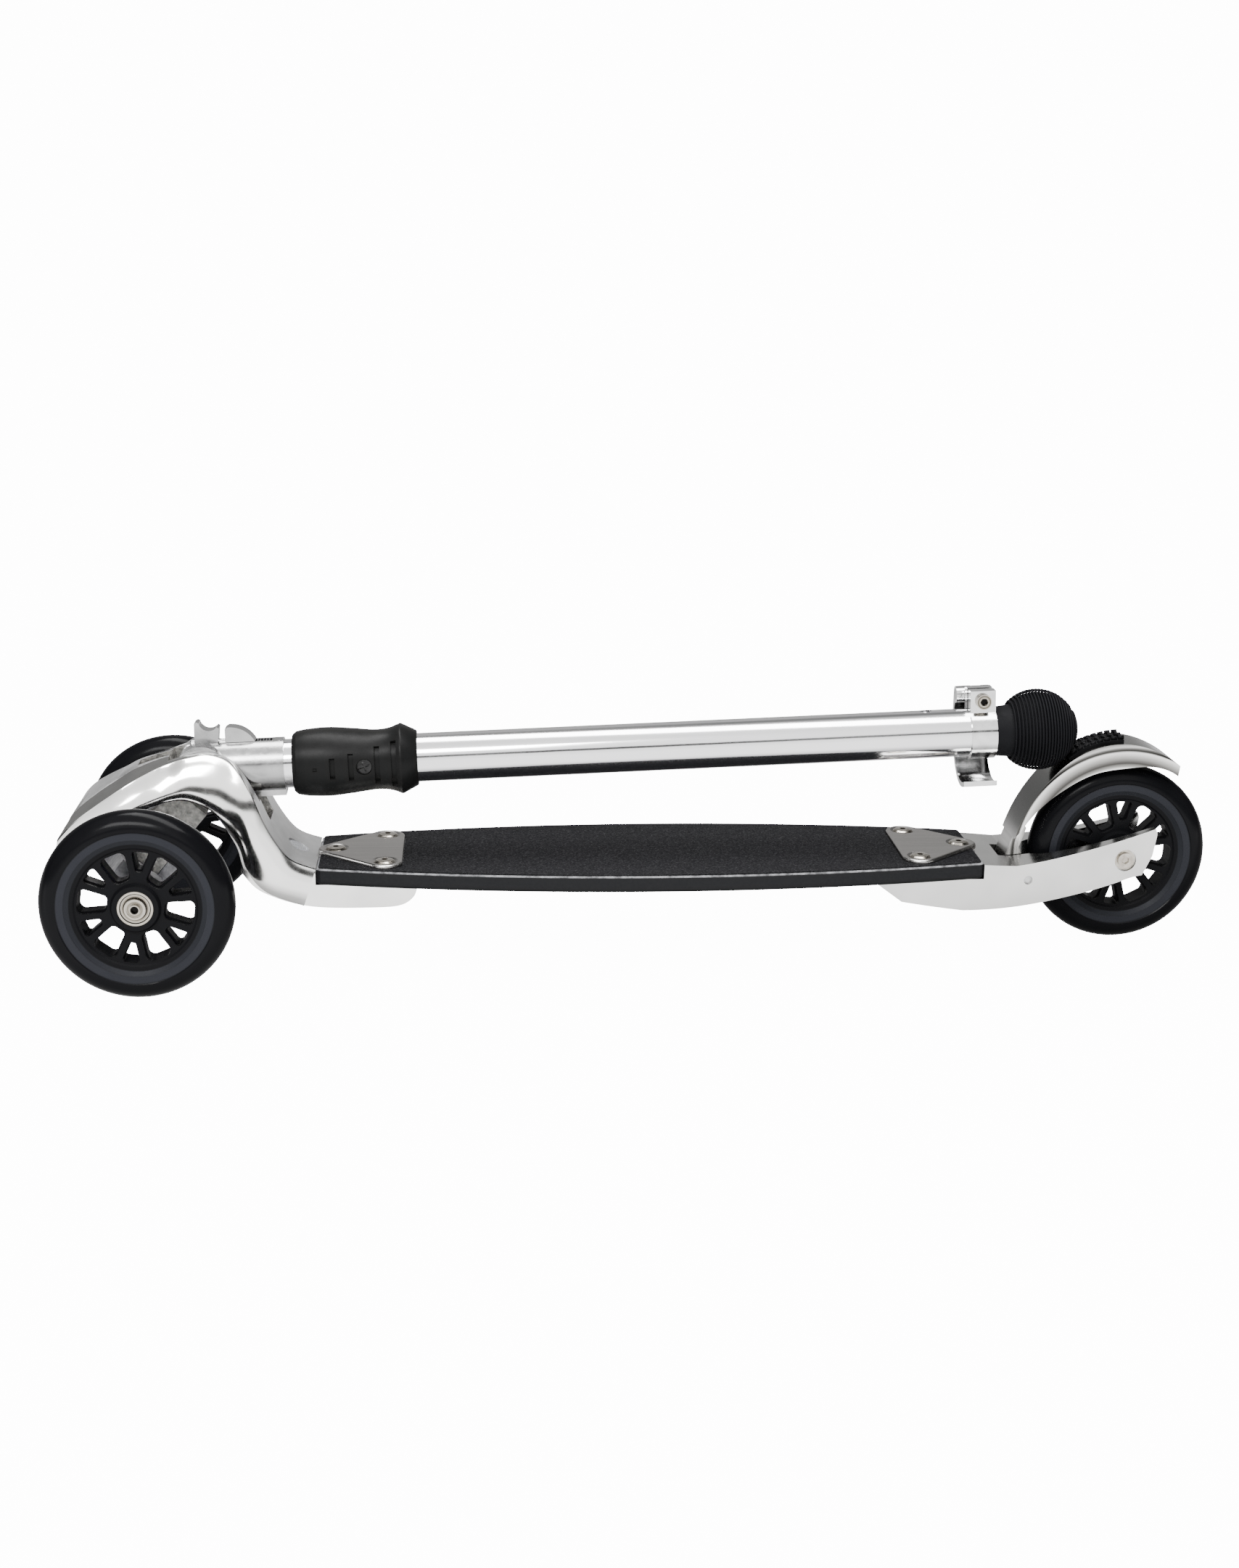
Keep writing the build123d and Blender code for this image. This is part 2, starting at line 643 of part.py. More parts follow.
with BuildPart() as stub:
    with BuildSketch(bar_side):
        Circle(STUB_R)
    extrude(amount=STUB_R, both=True)
    with BuildSketch(across_bar(0)):
        Circle(STUB_R)
    extrude(amount=STUB_LENGTH)
    with BuildSketch(bar_side):
        Polygon((17, -10), (STUB_LENGTH, -10), (STUB_LENGTH, -19.3), (24, -19.3), (17, -16.5), align=None)
    extrude(amount=8, both=True)
    with BuildSketch(Plane.XZ):
        with BuildLine():
            Polyline((-277.4, 149.4), (-276.2, 148.6), (-277.4, 133), (-290, 133), (-292, 133), (-292, 151.6),
                     (-290.4, 152.6), (-289, 152))
            ThreePointArc((-289, 152), (-283.4, 147), (-277.4, 149.4))
        make_face()
    extrude(amount=5.5, both=True)
    with BuildSketch(across_bar(14)):
        Circle(BAR_R + 0.03)
    extrude(amount=60, mode=Mode.SUBTRACT)
    with BuildSketch(bar_side):
        with Locations((28.5, FLAT_HEIGHT + 2)):
            Rectangle(34, 4)
    extrude(amount=6.2, both=True, mode=Mode.SUBTRACT)
    with BuildSketch(bar_side):
        with Locations((28.5, LATCH_HEIGHT)):
            Rectangle(34, 8)
    extrude(amount=3.3, both=True, mode=Mode.SUBTRACT)
    with BuildSketch(across_bar(-20)):
        with Locations((0, LATCH_HEIGHT)):
            Circle(3.06)
    extrude(amount=40, mode=Mode.SUBTRACT)
    with BuildSketch(side_at(30)):
        with Locations((PIVOT[0], PIVOT[2])):
            Circle(6.02)
    extrude(amount=60, mode=Mode.SUBTRACT)
save(stub, "fold_socket")

with BuildPart() as fold_bush:
    with BuildSketch(side_at(0)):
        with Locations((PIVOT[0], PIVOT[2])):
            Circle(6)
            Circle(AXLE_R + PIN_GAP, mode=Mode.SUBTRACT)
    extrude(amount=STUB_R, both=True)
save(fold_bush, "fold_bush")

with BuildPart() as fold_pin:
    with BuildSketch(side_at(-24.8)):
        with Locations((PIVOT[0], PIVOT[2])):
            Circle(AXLE_R)
    extrude(amount=-49.6)
save(fold_pin, "fold_pin")

# ---- fold latch: thumb fin, plunger and spring -----------------------------------------------------

with BuildPart() as fin:
    with BuildSketch(bar_side):
        with BuildLine():
            Polyline((34.6, FLAT_HEIGHT + 0.3), (15.4, FLAT_HEIGHT + 0.3), (15.6, 25.6), (17.6, 26.8))
            ThreePointArc((17.6, 26.8), (28.5, 23.8), (34.6, FLAT_HEIGHT + 0.3))
        make_face()
    extrude(amount=5.5, both=True)
    with BuildSketch(bar_side):
        with Locations((24.2, 15)):
            Rectangle(17.6, 5)
    extrude(amount=2.9, both=True)
save(fin, "latch_fin")

with BuildPart() as plunger:
    with BuildSketch(across_bar(-7.6)):
        with Locations((0, LATCH_HEIGHT)):
            Circle(3)
    extrude(amount=22.9)
    fillet(plunger.faces().sort_by(bar_axis)[0].edges(), radius=1)
save(plunger, "latch_plunger")

with BuildPart() as latch_spring:
    with BuildLine():
        coil = Helix(pitch=1.9, height=10.4, radius=1.9, center=Vector(*PIVOT) + bar_x * 33.7 + bar_up * 14,
                     direction=bar_x)
    with BuildSketch(Plane(origin=coil @ 0, z_dir=coil % 0)):
        Circle(0.35)
    sweep(is_frenet=True)
save(latch_spring, "latch_spring")

# ---- bar: outer tube, clamshell sleeve and its screws ----------------------------------------------

tube_hole = COLLAR_START - 28.4

with BuildPart() as outer_tube:
    with BuildSketch(across_bar(14.1)):
        Circle(BAR_R)
        Circle(BAR_R - BAR_WALL, mode=Mode.SUBTRACT)
    extrude(amount=COLLAR_END - 14.1)
    with BuildSketch(over_bar(0)):
        with Locations((tube_hole, 0)):
            Circle(4)
        with Locations((30, 0)):
            Rectangle(33, 7.4)
    extrude(amount=30, mode=Mode.SUBTRACT)
    with BuildSketch(over_bar(0)):
        with Locations((COLLAR_END, 0)):
            Rectangle(36, 1.6)
    extrude(amount=30, mode=Mode.SUBTRACT)
save(outer_tube, "outer_tube")

sleeve_outline = [(60, 20.2), (68, 21.9), (82, 22.5), (97, 21), (111, 19.6), (120.5, 20.4), (129, 23)]

for place, side in (("left", 1), ("right", -1)):
    with BuildPart() as shell:
        with BuildSketch(bar_side):
            with BuildLine():
                Polyline((SLEEVE_START, BAR_R + 0.02), (SLEEVE_START, 18.4), (60, 20.2))
                Spline(sleeve_outline)
                ThreePointArc((129, 23), (134.6, 21), (SLEEVE_END, 17.3))
                Polyline((SLEEVE_END, 17.3), (SLEEVE_END, BAR_R + 0.02), (SLEEVE_START, BAR_R + 0.02))
            make_face()
        revolve(axis=bar_axis)
        split(bisect_by=bar_side, keep=Keep.TOP if side == 1 else Keep.BOTTOM)
        with BuildSketch(bar_side.offset(side * 30)):
            with Locations((104.5, 0)):
                Circle(4.4)
        extrude(amount=-side * 11.8, mode=Mode.SUBTRACT)
    save(shell, f"{place}_sleeve")

with BuildPart() as sleeve_screws:
    for side in (1, -1):
        with BuildSketch(bar_side.offset(side * 18.22)):
            with Locations((104.5, 0)):
                Circle(4)
        extrude(amount=side * 1.4)
save(sleeve_screws, "sleeve_screws")

# ---- height clamp: collar, bolt, barrel nut, cam lever ---------------------------------------------

collar_mid = (COLLAR_START + COLLAR_END) / 2
EAR_TOP = 29.5
BOLT_HEIGHT = 22.6

with BuildPart() as collar:
    with BuildSketch(across_bar(COLLAR_START)):
        Circle(17.6)
        with Locations((-5.4, 20)):
            Rectangle(8, 2 * (EAR_TOP - 20))
        with Locations((5.4, 20)):
            Rectangle(8, 2 * (EAR_TOP - 20))
        Circle(BAR_R + 0.02, mode=Mode.SUBTRACT)
        with Locations((0, 24)):
            Rectangle(2.8, 22, mode=Mode.SUBTRACT)
    extrude(amount=COLLAR_END - COLLAR_START)
    with BuildSketch(bar_side.offset(30)):
        with Locations((collar_mid, BOLT_HEIGHT)):
            Circle(3.05)
    extrude(amount=-60, mode=Mode.SUBTRACT)
save(collar, "clamp_collar")

with BuildPart() as clamp_bolt:
    with BuildSketch(bar_side.offset(9.4)):
        with Locations((collar_mid, BOLT_HEIGHT)):
            Circle(5)
    extrude(amount=3.2)
    with BuildSketch(bar_side.offset(9.4)):
        with Locations((collar_mid, BOLT_HEIGHT)):
            Circle(3)
    extrude(amount=-29)
    with BuildSketch(bar_side.offset(12.6)):
        with Locations((collar_mid, BOLT_HEIGHT)):
            RegularPolygon(2.7, 6)
    extrude(amount=-2.2, mode=Mode.SUBTRACT)
save(clamp_bolt, "clamp_bolt")

LEVER_Y = 15.4

with BuildPart() as lever_pin:
    with BuildSketch(across_bar(COLLAR_START - 5)):
        with Locations((LEVER_Y, BOLT_HEIGHT)):
            Circle(3.5)
    extrude(amount=22)
    with BuildSketch(bar_side):
        with Locations((collar_mid, BOLT_HEIGHT)):
            Circle(3.05)
    extrude(amount=-30, mode=Mode.SUBTRACT)
save(lever_pin, "lever_barrel_nut")

with BuildPart() as lever:
    with BuildSketch(across_bar(COLLAR_START - 5)):
        with Locations((LEVER_Y, BOLT_HEIGHT)):
            Circle(5.6)
        with BuildLine():
            outside = Spline([(LEVER_Y + 5.4, BOLT_HEIGHT + 1), (24.2, 8), (23.5, -12), (14, -29), (-14, -33.4)])
            inside = Spline([(LEVER_Y + 1, BOLT_HEIGHT - 5.2), (20.6, 6), (19.8, -11), (12, -25.6), (-14, -30.2)])
            Line(outside @ 0, inside @ 0)
            Line(outside @ 1, inside @ 1)
        make_face()
        with Locations((LEVER_Y, BOLT_HEIGHT)):
            Circle(3.5 + PIN_GAP, mode=Mode.SUBTRACT)
    extrude(amount=22)
    with BuildSketch(bar_side):
        with Locations((collar_mid, BOLT_HEIGHT)):
            Rectangle(7.4, 12)
        with Locations((collar_mid, BOLT_HEIGHT + 8)):
            Rectangle(7.4, 20)
    extrude(amount=-40, mode=Mode.SUBTRACT)
save(lever, "clamp_lever")

# ---- telescopic part: inner tube, snap button, knob ------------------------------------------------

INNER_R = 13.6
INNER_START = 190
BUTTON_AT = tube_hole - EXTENSION

with BuildPart() as inner_tube:
    with BuildSketch(across_bar(INNER_START)):
        Circle(INNER_R)
        Circle(INNER_R - 1.6, mode=Mode.SUBTRACT)
    extrude(amount=KNOB_CENTRE - 6 - INNER_START)
    with BuildSketch(over_bar(0)):
        with Locations((BUTTON_AT, 0)):
            Circle(3.6)
    extrude(amount=30, mode=Mode.SUBTRACT)
save(inner_tube, "inner_tube")

with BuildPart() as guide:
    with BuildSketch(across_bar(INNER_START + 4)):
        Circle(INNER_R - 1.62)
        Circle(INNER_R - 4, mode=Mode.SUBTRACT)
    extrude(amount=22)
save(guide, "inner_tube_plug")

with BuildPart() as button:
    with BuildSketch(over_bar(INNER_R - 5.4)):
        with Locations((BUTTON_AT, 0)):
            Circle(3.5)
    extrude(amount=5.2)
    fillet(button.faces().sort_by(Axis(PIVOT, bar_up))[-1].edges(), radius=0.8)
    with BuildSketch(over_bar(INNER_R - 6.4)):
        with Locations((BUTTON_AT, 0)):
            Circle(4.6)
    extrude(amount=1)
save(button, "snap_button")

with BuildPart() as button_spring:
    with BuildSketch(bar_side):
        with BuildLine():
            Polyline((BUTTON_AT - 4, 6.8), (BUTTON_AT + 22, -8), (BUTTON_AT + 23, -6.6), (BUTTON_AT - 1, 7))
            Line((BUTTON_AT - 1, 7), (BUTTON_AT - 4, 6.8))
        make_face()
    extrude(amount=2.5, both=True)
save(button_spring, "button_spring")

NECK_R = 16.2
NECK_END = COLLAR_END + 0.4

with BuildPart() as knob_core:
    with BuildSketch(bar_side):
        with BuildLine():
            Polyline((NECK_END, INNER_R + 0.02), (NECK_END, 15), (KNOB_CENTRE - 17, 15))
            ThreePointArc((KNOB_CENTRE - 17, 15), (KNOB_CENTRE, 24), (KNOB_CENTRE + 21, 11))
            Polyline((KNOB_CENTRE + 21, 11), (KNOB_CENTRE + 21, 0), (KNOB_CENTRE - 5.9, 0),
                     (KNOB_CENTRE - 5.9, INNER_R + 0.02), (NECK_END, INNER_R + 0.02))
        make_face()
    revolve(axis=bar_axis)
save(knob_core, "knob_core")

with BuildPart() as knob_grip:
    with BuildSketch(bar_side):
        with BuildLine():
            ThreePointArc((KNOB_CENTRE - 19.6, 17.2), (KNOB_CENTRE, KNOB_R - 0.4), (KNOB_CENTRE + 23.4, 12))
            Polyline((KNOB_CENTRE - 19.6, 17.2), (KNOB_CENTRE - 19.6, NECK_R), (NECK_END, NECK_R),
                     (NECK_END, 15.02), (KNOB_CENTRE - 17, 15.02))
            ThreePointArc((KNOB_CENTRE - 17, 15.02), (KNOB_CENTRE, 24.02), (KNOB_CENTRE + 21.02, 11.02))
            Polyline((KNOB_CENTRE + 21.02, 11.02), (KNOB_CENTRE + 23.4, 11.02), (KNOB_CENTRE + 23.4, 12))
        make_face()
    revolve(axis=bar_axis)
save(knob_grip, "knob_grip")

with BuildPart() as knob_cap:
    with BuildSketch(bar_side):
        with BuildLine():
            Polyline((KNOB_CENTRE + 21.02, 0), (KNOB_CENTRE + 21.02, 10.9), (KNOB_CENTRE + 23.45, 10.9),
                     (KNOB_CENTRE + 23.45, 11.6), (KNOB_CENTRE + 24.6, 11.6))
            dome = CenterArc((KNOB_CENTRE, 0), 27.2, 0, 25.25)
            Line(dome @ 1, (KNOB_CENTRE + 24.6, 11.6))
            Line(dome @ 0, (KNOB_CENTRE + 21.02, 0))
        make_face()
    revolve(axis=bar_axis)
save(knob_cap, "knob_cap")
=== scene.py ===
"""The looks of a folding three-wheeled kick scooter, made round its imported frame."""

import json
from math import atan2, cos, pi, radians, sin, sqrt

import bmesh
import bpy
from mathutils import Matrix, Vector


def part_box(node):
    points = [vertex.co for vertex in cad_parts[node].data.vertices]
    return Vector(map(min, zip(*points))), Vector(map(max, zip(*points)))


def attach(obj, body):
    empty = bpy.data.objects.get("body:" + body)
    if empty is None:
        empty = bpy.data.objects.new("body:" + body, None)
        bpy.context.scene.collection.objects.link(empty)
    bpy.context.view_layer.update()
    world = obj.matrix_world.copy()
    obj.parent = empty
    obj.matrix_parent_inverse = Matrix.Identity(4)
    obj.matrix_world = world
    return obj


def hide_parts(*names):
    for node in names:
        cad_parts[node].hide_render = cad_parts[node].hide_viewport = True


bl_info = {
    "name": "Kick Scooter",
    "version": (1, 0, 0),
    "blender": (4, 5, 0),
    "location": "View3D > Sidebar > Kick Scooter",
    "description": "Makes the detailed pieces, finishes and stage of a folding kick scooter",
    "category": "Object",
}

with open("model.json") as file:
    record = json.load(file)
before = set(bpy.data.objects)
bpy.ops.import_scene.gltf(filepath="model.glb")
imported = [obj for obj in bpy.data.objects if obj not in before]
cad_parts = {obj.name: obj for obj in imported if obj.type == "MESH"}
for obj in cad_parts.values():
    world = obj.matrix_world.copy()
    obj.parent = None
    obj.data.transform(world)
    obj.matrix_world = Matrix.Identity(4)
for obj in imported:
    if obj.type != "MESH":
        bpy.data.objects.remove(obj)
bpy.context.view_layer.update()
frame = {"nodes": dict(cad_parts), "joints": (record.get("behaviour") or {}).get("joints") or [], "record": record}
JOINTS = {joint["name"]: joint for joint in frame["joints"]}
MM = 0.001
# turned pieces start this part of a step round, so that no cutter's face runs along their edges
LATHE_SHIFT = 0.37

# the bar's own directions: along it, and up from it
PIVOT = Vector(JOINTS["fold"]["pos_m"])
ALONG = Vector(JOINTS["bar_extend"]["axis"]).normalized()
UP = Vector((-ALONG.z, 0, ALONG.x))
SIDE = Vector((0, -1, 0))
BAR = Matrix((
    (ALONG.x, SIDE.x, UP.x, PIVOT.x),
    (ALONG.y, SIDE.y, UP.y, PIVOT.y),
    (ALONG.z, SIDE.z, UP.z, PIVOT.z),
    (0, 0, 0, 1),
))


# ---- small helpers ---------------------------------------------------------------------------------

def link(obj):
    """Put an object in the scene and return it."""
    bpy.context.scene.collection.objects.link(obj)
    return obj


def mesh_object(name, vertices, faces, material=None):
    """A linked mesh object from plain lists, with its normals made to point outwards."""
    mesh = bpy.data.meshes.new(name)
    mesh.from_pydata([tuple(v) for v in vertices], [], faces)
    mesh.update()
    work = bmesh.new()
    work.from_mesh(mesh)
    bmesh.ops.remove_doubles(work, verts=work.verts, dist=1e-7)
    bmesh.ops.recalc_face_normals(work, faces=work.faces)
    work.to_mesh(mesh)
    work.free()
    if material:
        mesh.materials.append(material)
    return link(bpy.data.objects.new(name, mesh))


def smooth(obj, angle=35):
    """Shade an object smooth, with its edges sharper than an angle kept sharp."""
    obj.data.shade_smooth()
    obj.data.set_sharp_from_angle(angle=radians(angle))
    return obj


def baked(obj):
    """Replace an object's mesh by what its modifiers give, and drop the modifiers."""
    graph = bpy.context.evaluated_depsgraph_get()
    graph.update()
    mesh = bpy.data.meshes.new_from_object(obj.evaluated_get(graph), depsgraph=graph)
    obj.modifiers.clear()
    obj.data = mesh
    return obj


def cut(obj, cutters, operation="DIFFERENCE", crossed=False):
    """Take closed cutters out of an object, or join them to it; crossed allows for crossings in itself."""
    for cutter in cutters:
        modifier = obj.modifiers.new("cut", "BOOLEAN")
        modifier.operation = operation
        modifier.solver = "EXACT"
        modifier.use_self = crossed
        modifier.material_mode = "TRANSFER"
        modifier.object = cutter
    baked(obj)
    for cutter in cutters:
        bpy.data.objects.remove(cutter, do_unlink=True)
    return obj


def merge(obj, others):
    """Add other closed pieces to an object's mesh as they are, with their materials."""
    work = bmesh.new()
    work.from_mesh(obj.data)
    for other in others:
        material = other.data.materials[0]
        if material.name not in obj.data.materials:
            obj.data.materials.append(material)
        place = obj.data.materials.find(material.name)
        before = len(work.faces)
        work.from_mesh(other.data)
        work.faces.ensure_lookup_table()
        for face in work.faces[before:]:
            face.material_index = place
        bpy.data.objects.remove(other, do_unlink=True)
    work.to_mesh(obj.data)
    work.free()
    return obj


def lathe(name, profile, steps, material):
    """A ring or a solid turned about the bar's axis from a closed profile of (along, radius) in mm."""
    vertices = []
    faces = []
    count = len(profile)
    for step in range(steps):
        turn = 2 * pi * (step + LATHE_SHIFT) / steps
        for along, radius in profile:
            point = Vector((along, radius * sin(turn), radius * cos(turn))) * MM
            vertices.append(BAR @ point)
    for step in range(steps):
        after = (step + 1) % steps
        for k in range(count):
            m = (k + 1) % count
            faces.append((step * count + k, step * count + m, after * count + m, after * count + k))
    return mesh_object(name, vertices, faces, material)


def prism(name, outline, half, material=None, middle=0.0):
    """A closed prism across the scooter from an outline of (x, z) in mm; half is half its width."""
    count = len(outline)
    vertices = [Vector((x, middle + side * half, z)) * MM for side in (-1, 1) for x, z in outline]
    faces = [tuple(range(count)), tuple(range(2 * count - 1, count - 1, -1))]
    for k in range(count):
        after = (k + 1) % count
        faces.append((k, k + count, after + count, after))
    return mesh_object(name, vertices, faces, material)


def bar_outline(points):
    """Points given as (along the bar, up from its axis) in mm, as (x, z) in mm."""
    spots = [PIVOT / MM + ALONG * along + UP * up for along, up in points]
    return [(spot.x, spot.z) for spot in spots]


def disc(centre, radius, steps=40):
    """The outline of a circle."""
    x, z = centre
    turns = [2 * pi * k / steps for k in range(steps)]
    return [(x + radius * cos(turn), z + radius * sin(turn)) for turn in turns]


def cylinder(name, base, direction, radius, height, steps=48, material=None, top=None):
    """A closed round peg, in mm, from its base along a direction; top is its radius at the far end."""
    turn = Vector(direction).to_track_quat("Z", "Y").to_matrix()
    rings = ((0, radius), (height, radius if top is None else top))
    vertices = []
    for level, size in rings:
        for k in range(steps):
            spot = Vector((size * cos(2 * pi * k / steps), size * sin(2 * pi * k / steps), level))
            vertices.append((Vector(base) + turn @ spot) * MM)
    faces = [tuple(range(steps - 1, -1, -1)), tuple(range(steps, 2 * steps))]
    faces += [(k, (k + 1) % steps, (k + 1) % steps + steps, k + steps) for k in range(steps)]
    return mesh_object(name, vertices, faces, material)


def arc_block(name, first, last, inner, outer, start, end, steps=24, material=None):
    """A block bent round the bar: from first to last along it, between two radii and two angles from -Y."""
    vertices = []
    for k in range(steps + 1):
        angle = radians(start + (end - start) * k / steps)
        for along, radius in ((first, inner), (last, inner), (last, outer), (first, outer)):
            vertices.append(BAR @ (Vector((along, radius * cos(angle), radius * sin(angle))) * MM))
    faces = [(3, 2, 1, 0), tuple(4 * steps + k for k in range(4))]
    for k in range(steps):
        for m in range(4):
            n = (m + 1) % 4
            faces.append((4 * k + m, 4 * k + n, 4 * k + 4 + n, 4 * k + 4 + m))
    return mesh_object(name, vertices, faces, material)


def through(points, steps):
    """A smooth run of points through the given ones, as many for each gap as steps."""
    run = []
    count = len(points)
    for k in range(count - 1):
        before, here, after, beyond = (points[min(max(k + m, 0), count - 1)] for m in (-1, 0, 1, 2))
        for step in range(steps):
            t = step / steps
            run.append(tuple(
                0.5 * (2 * b + (c - a) * t + (2 * a - 5 * b + 4 * c - d) * t ** 2
                       + (3 * b - a - 3 * c + d) * t ** 3)
                for a, b, c, d in zip(before, here, after, beyond)))
    return run + [tuple(points[-1])]


def loft(name, sections, materials, painted=lambda k: 0):
    """A closed solid through mirrored rings of points in mm; painted gives each strip's material index."""
    count = len(sections[0])
    vertices = [Vector(point) * MM for section in sections for point in section]
    faces = []
    for start in (0, (len(sections) - 1) * count):
        for m in range(count // 2 - 1):
            faces.append(tuple(start + n for n in (m, m + 1, count - 2 - m, count - 1 - m)))
    paints = [0] * len(faces)
    for k in range(len(sections) - 1):
        for m in range(count):
            n = (m + 1) % count
            faces.append((k * count + m, k * count + n, (k + 1) * count + n, (k + 1) * count + m))
            paints.append(painted(m))
    mesh = bpy.data.meshes.new(name)
    mesh.from_pydata([tuple(v) for v in vertices], [], faces)
    for material in materials:
        mesh.materials.append(material)
    mesh.polygons.foreach_set("material_index", paints)
    work = bmesh.new()
    work.from_mesh(mesh)
    bmesh.ops.recalc_face_normals(work, faces=work.faces)
    work.to_mesh(mesh)
    work.free()
    return link(bpy.data.objects.new(name, mesh))


def finish_piece(obj, body, slot, *nodes):
    """Let a finished piece ride on its body and hide the CAD nodes that it stands for; its slot is not used."""
    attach(obj, body)
    if nodes:
        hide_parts(*nodes)
    return obj


# ---- materials -------------------------------------------------------------------------------------

# the sockets of a Mix node that mixes colours: its two inputs and its result
MIX_FIRST, MIX_SECOND, MIX_RESULT = 6, 7, 2


def set_stops(ramp, stops):
    """Give a colour ramp node its (place, colour) stops."""
    marks = ramp.color_ramp.elements
    while len(marks) < len(stops):
        marks.new(0.5)
    for mark, (place, colour) in zip(marks, stops):
        mark.position = place
        mark.color = (*colour, 1)


def greys(steps):
    """Stops of plain grey from (place, brightness) pairs."""
    return [(place, (grey, grey, grey)) for place, grey in steps]


class Tree:
    """A node tree, with short calls to add nodes and to join them."""

    def __init__(self, tree):
        self.tree = tree

    def add(self, kind, **values):
        node = self.tree.nodes.new(kind)
        for key, value in values.items():
            setattr(node, key, value)
        return node

    def join(self, source, output, target, entry):
        self.tree.links.new(source.outputs[output], target.inputs[entry])

    def product(self, first, output, second, other):
        """A node that multiplies two outputs."""
        node = self.add("ShaderNodeMath", operation="MULTIPLY")
        self.join(first, output, node, 0)
        self.join(second, other, node, 1)
        return node


class Shader(Tree):
    """A material's node tree, with short calls for the nodes that the finishes use."""

    def __init__(self, name):
        self.material = bpy.data.materials.new(name)
        self.material.use_nodes = True
        super().__init__(self.material.node_tree)
        self.tree.nodes.clear()
        self.out = self.add("ShaderNodeOutputMaterial")
        self.skin = self.add("ShaderNodeBsdfPrincipled")
        self.join(self.skin, "BSDF", self.out, "Surface")
        self.coords = self.add("ShaderNodeTexCoord")

    def set(self, **values):
        """Constants on the shader itself."""
        for key, value in values.items():
            self.skin.inputs[key.replace("_", " ")].default_value = value

    def mapped(self, scale=(1, 1, 1), turn=(0, 0, 0), place=(0, 0, 0)):
        """Object coordinates, centred, turned and stretched."""
        node = self.add("ShaderNodeMapping", vector_type="TEXTURE")
        node.inputs["Location"].default_value = place
        node.inputs["Rotation"].default_value = turn
        node.inputs["Scale"].default_value = tuple(1 / part for part in scale)
        self.join(self.coords, "Object", node, "Vector")
        return node

    def noise(self, where, scale, detail=4, rough=0.55):
        node = self.add("ShaderNodeTexNoise")
        node.inputs["Scale"].default_value = scale
        node.inputs["Detail"].default_value = detail
        node.inputs["Roughness"].default_value = rough
        self.join(where, "Vector", node, "Vector")
        return node

    def ramp(self, source, output, stops):
        """A colour ramp with (place, colour) stops."""
        node = self.add("ShaderNodeValToRGB")
        set_stops(node, stops)
        self.join(source, output, node, "Fac")
        return node

    def map_range(self, source, output, low, high, first, last):
        node = self.add("ShaderNodeMapRange")
        for key, value in (("From Min", low), ("From Max", high), ("To Min", first), ("To Max", last)):
            node.inputs[key].default_value = value
        self.join(source, output, node, "Value")
        return node

    def toned(self, colour, tone, strength):
        """The shader's own colour: one ramp multiplied by another, by so much."""
        mix = self.add("ShaderNodeMix", data_type="RGBA", blend_type="MULTIPLY")
        mix.inputs["Factor"].default_value = strength
        self.join(colour, "Color", mix, MIX_FIRST)
        self.join(tone, "Color", mix, MIX_SECOND)
        self.join(mix, MIX_RESULT, self.skin, "Base Color")

    def bump(self, source, output, strength, distance):
        node = self.add("ShaderNodeBump")
        node.inputs["Strength"].default_value = strength
        node.inputs["Distance"].default_value = distance
        self.join(source, output, node, "Height")
        self.join(node, "Normal", self.skin, "Normal")

    def from_axis(self, centre, keep):
        """The distance from an axis through a point; keep blanks the direction along it."""
        shift = self.add("ShaderNodeVectorMath", operation="SUBTRACT")
        self.join(self.coords, "Object", shift, 0)
        shift.inputs[1].default_value = centre
        flat = self.add("ShaderNodeVectorMath", operation="MULTIPLY")
        self.join(shift, "Vector", flat, 0)
        flat.inputs[1].default_value = keep
        length = self.add("ShaderNodeVectorMath", operation="LENGTH")
        self.join(flat, "Vector", length, 0)
        return length


def mottled(name, dark, light, rough, scale=60, metallic=0.0, grain=(1, 1, 1), turn=(0, 0, 0),
            relief=0.0, relief_scale=400, depth=0.0002, **constants):
    """A finish whose colour and roughness vary with noise, with fine relief."""
    shader = Shader(name)
    where = shader.mapped(grain, turn)
    cloud = shader.noise(where, scale)
    colour = shader.ramp(cloud, "Fac", [(0.3, dark), (0.7, light)])
    shader.join(colour, "Color", shader.skin, "Base Color")
    fine = shader.noise(where, scale * 4, detail=6)
    spread = shader.map_range(fine, "Fac", 0.25, 0.75, rough[0], rough[1])
    shader.join(spread, "Result", shader.skin, "Roughness")
    if relief:
        grit = shader.noise(where, relief_scale, detail=5, rough=0.65)
        shader.bump(grit, "Fac", relief, depth)
    shader.set(Metallic=metallic, **constants)
    return shader.material


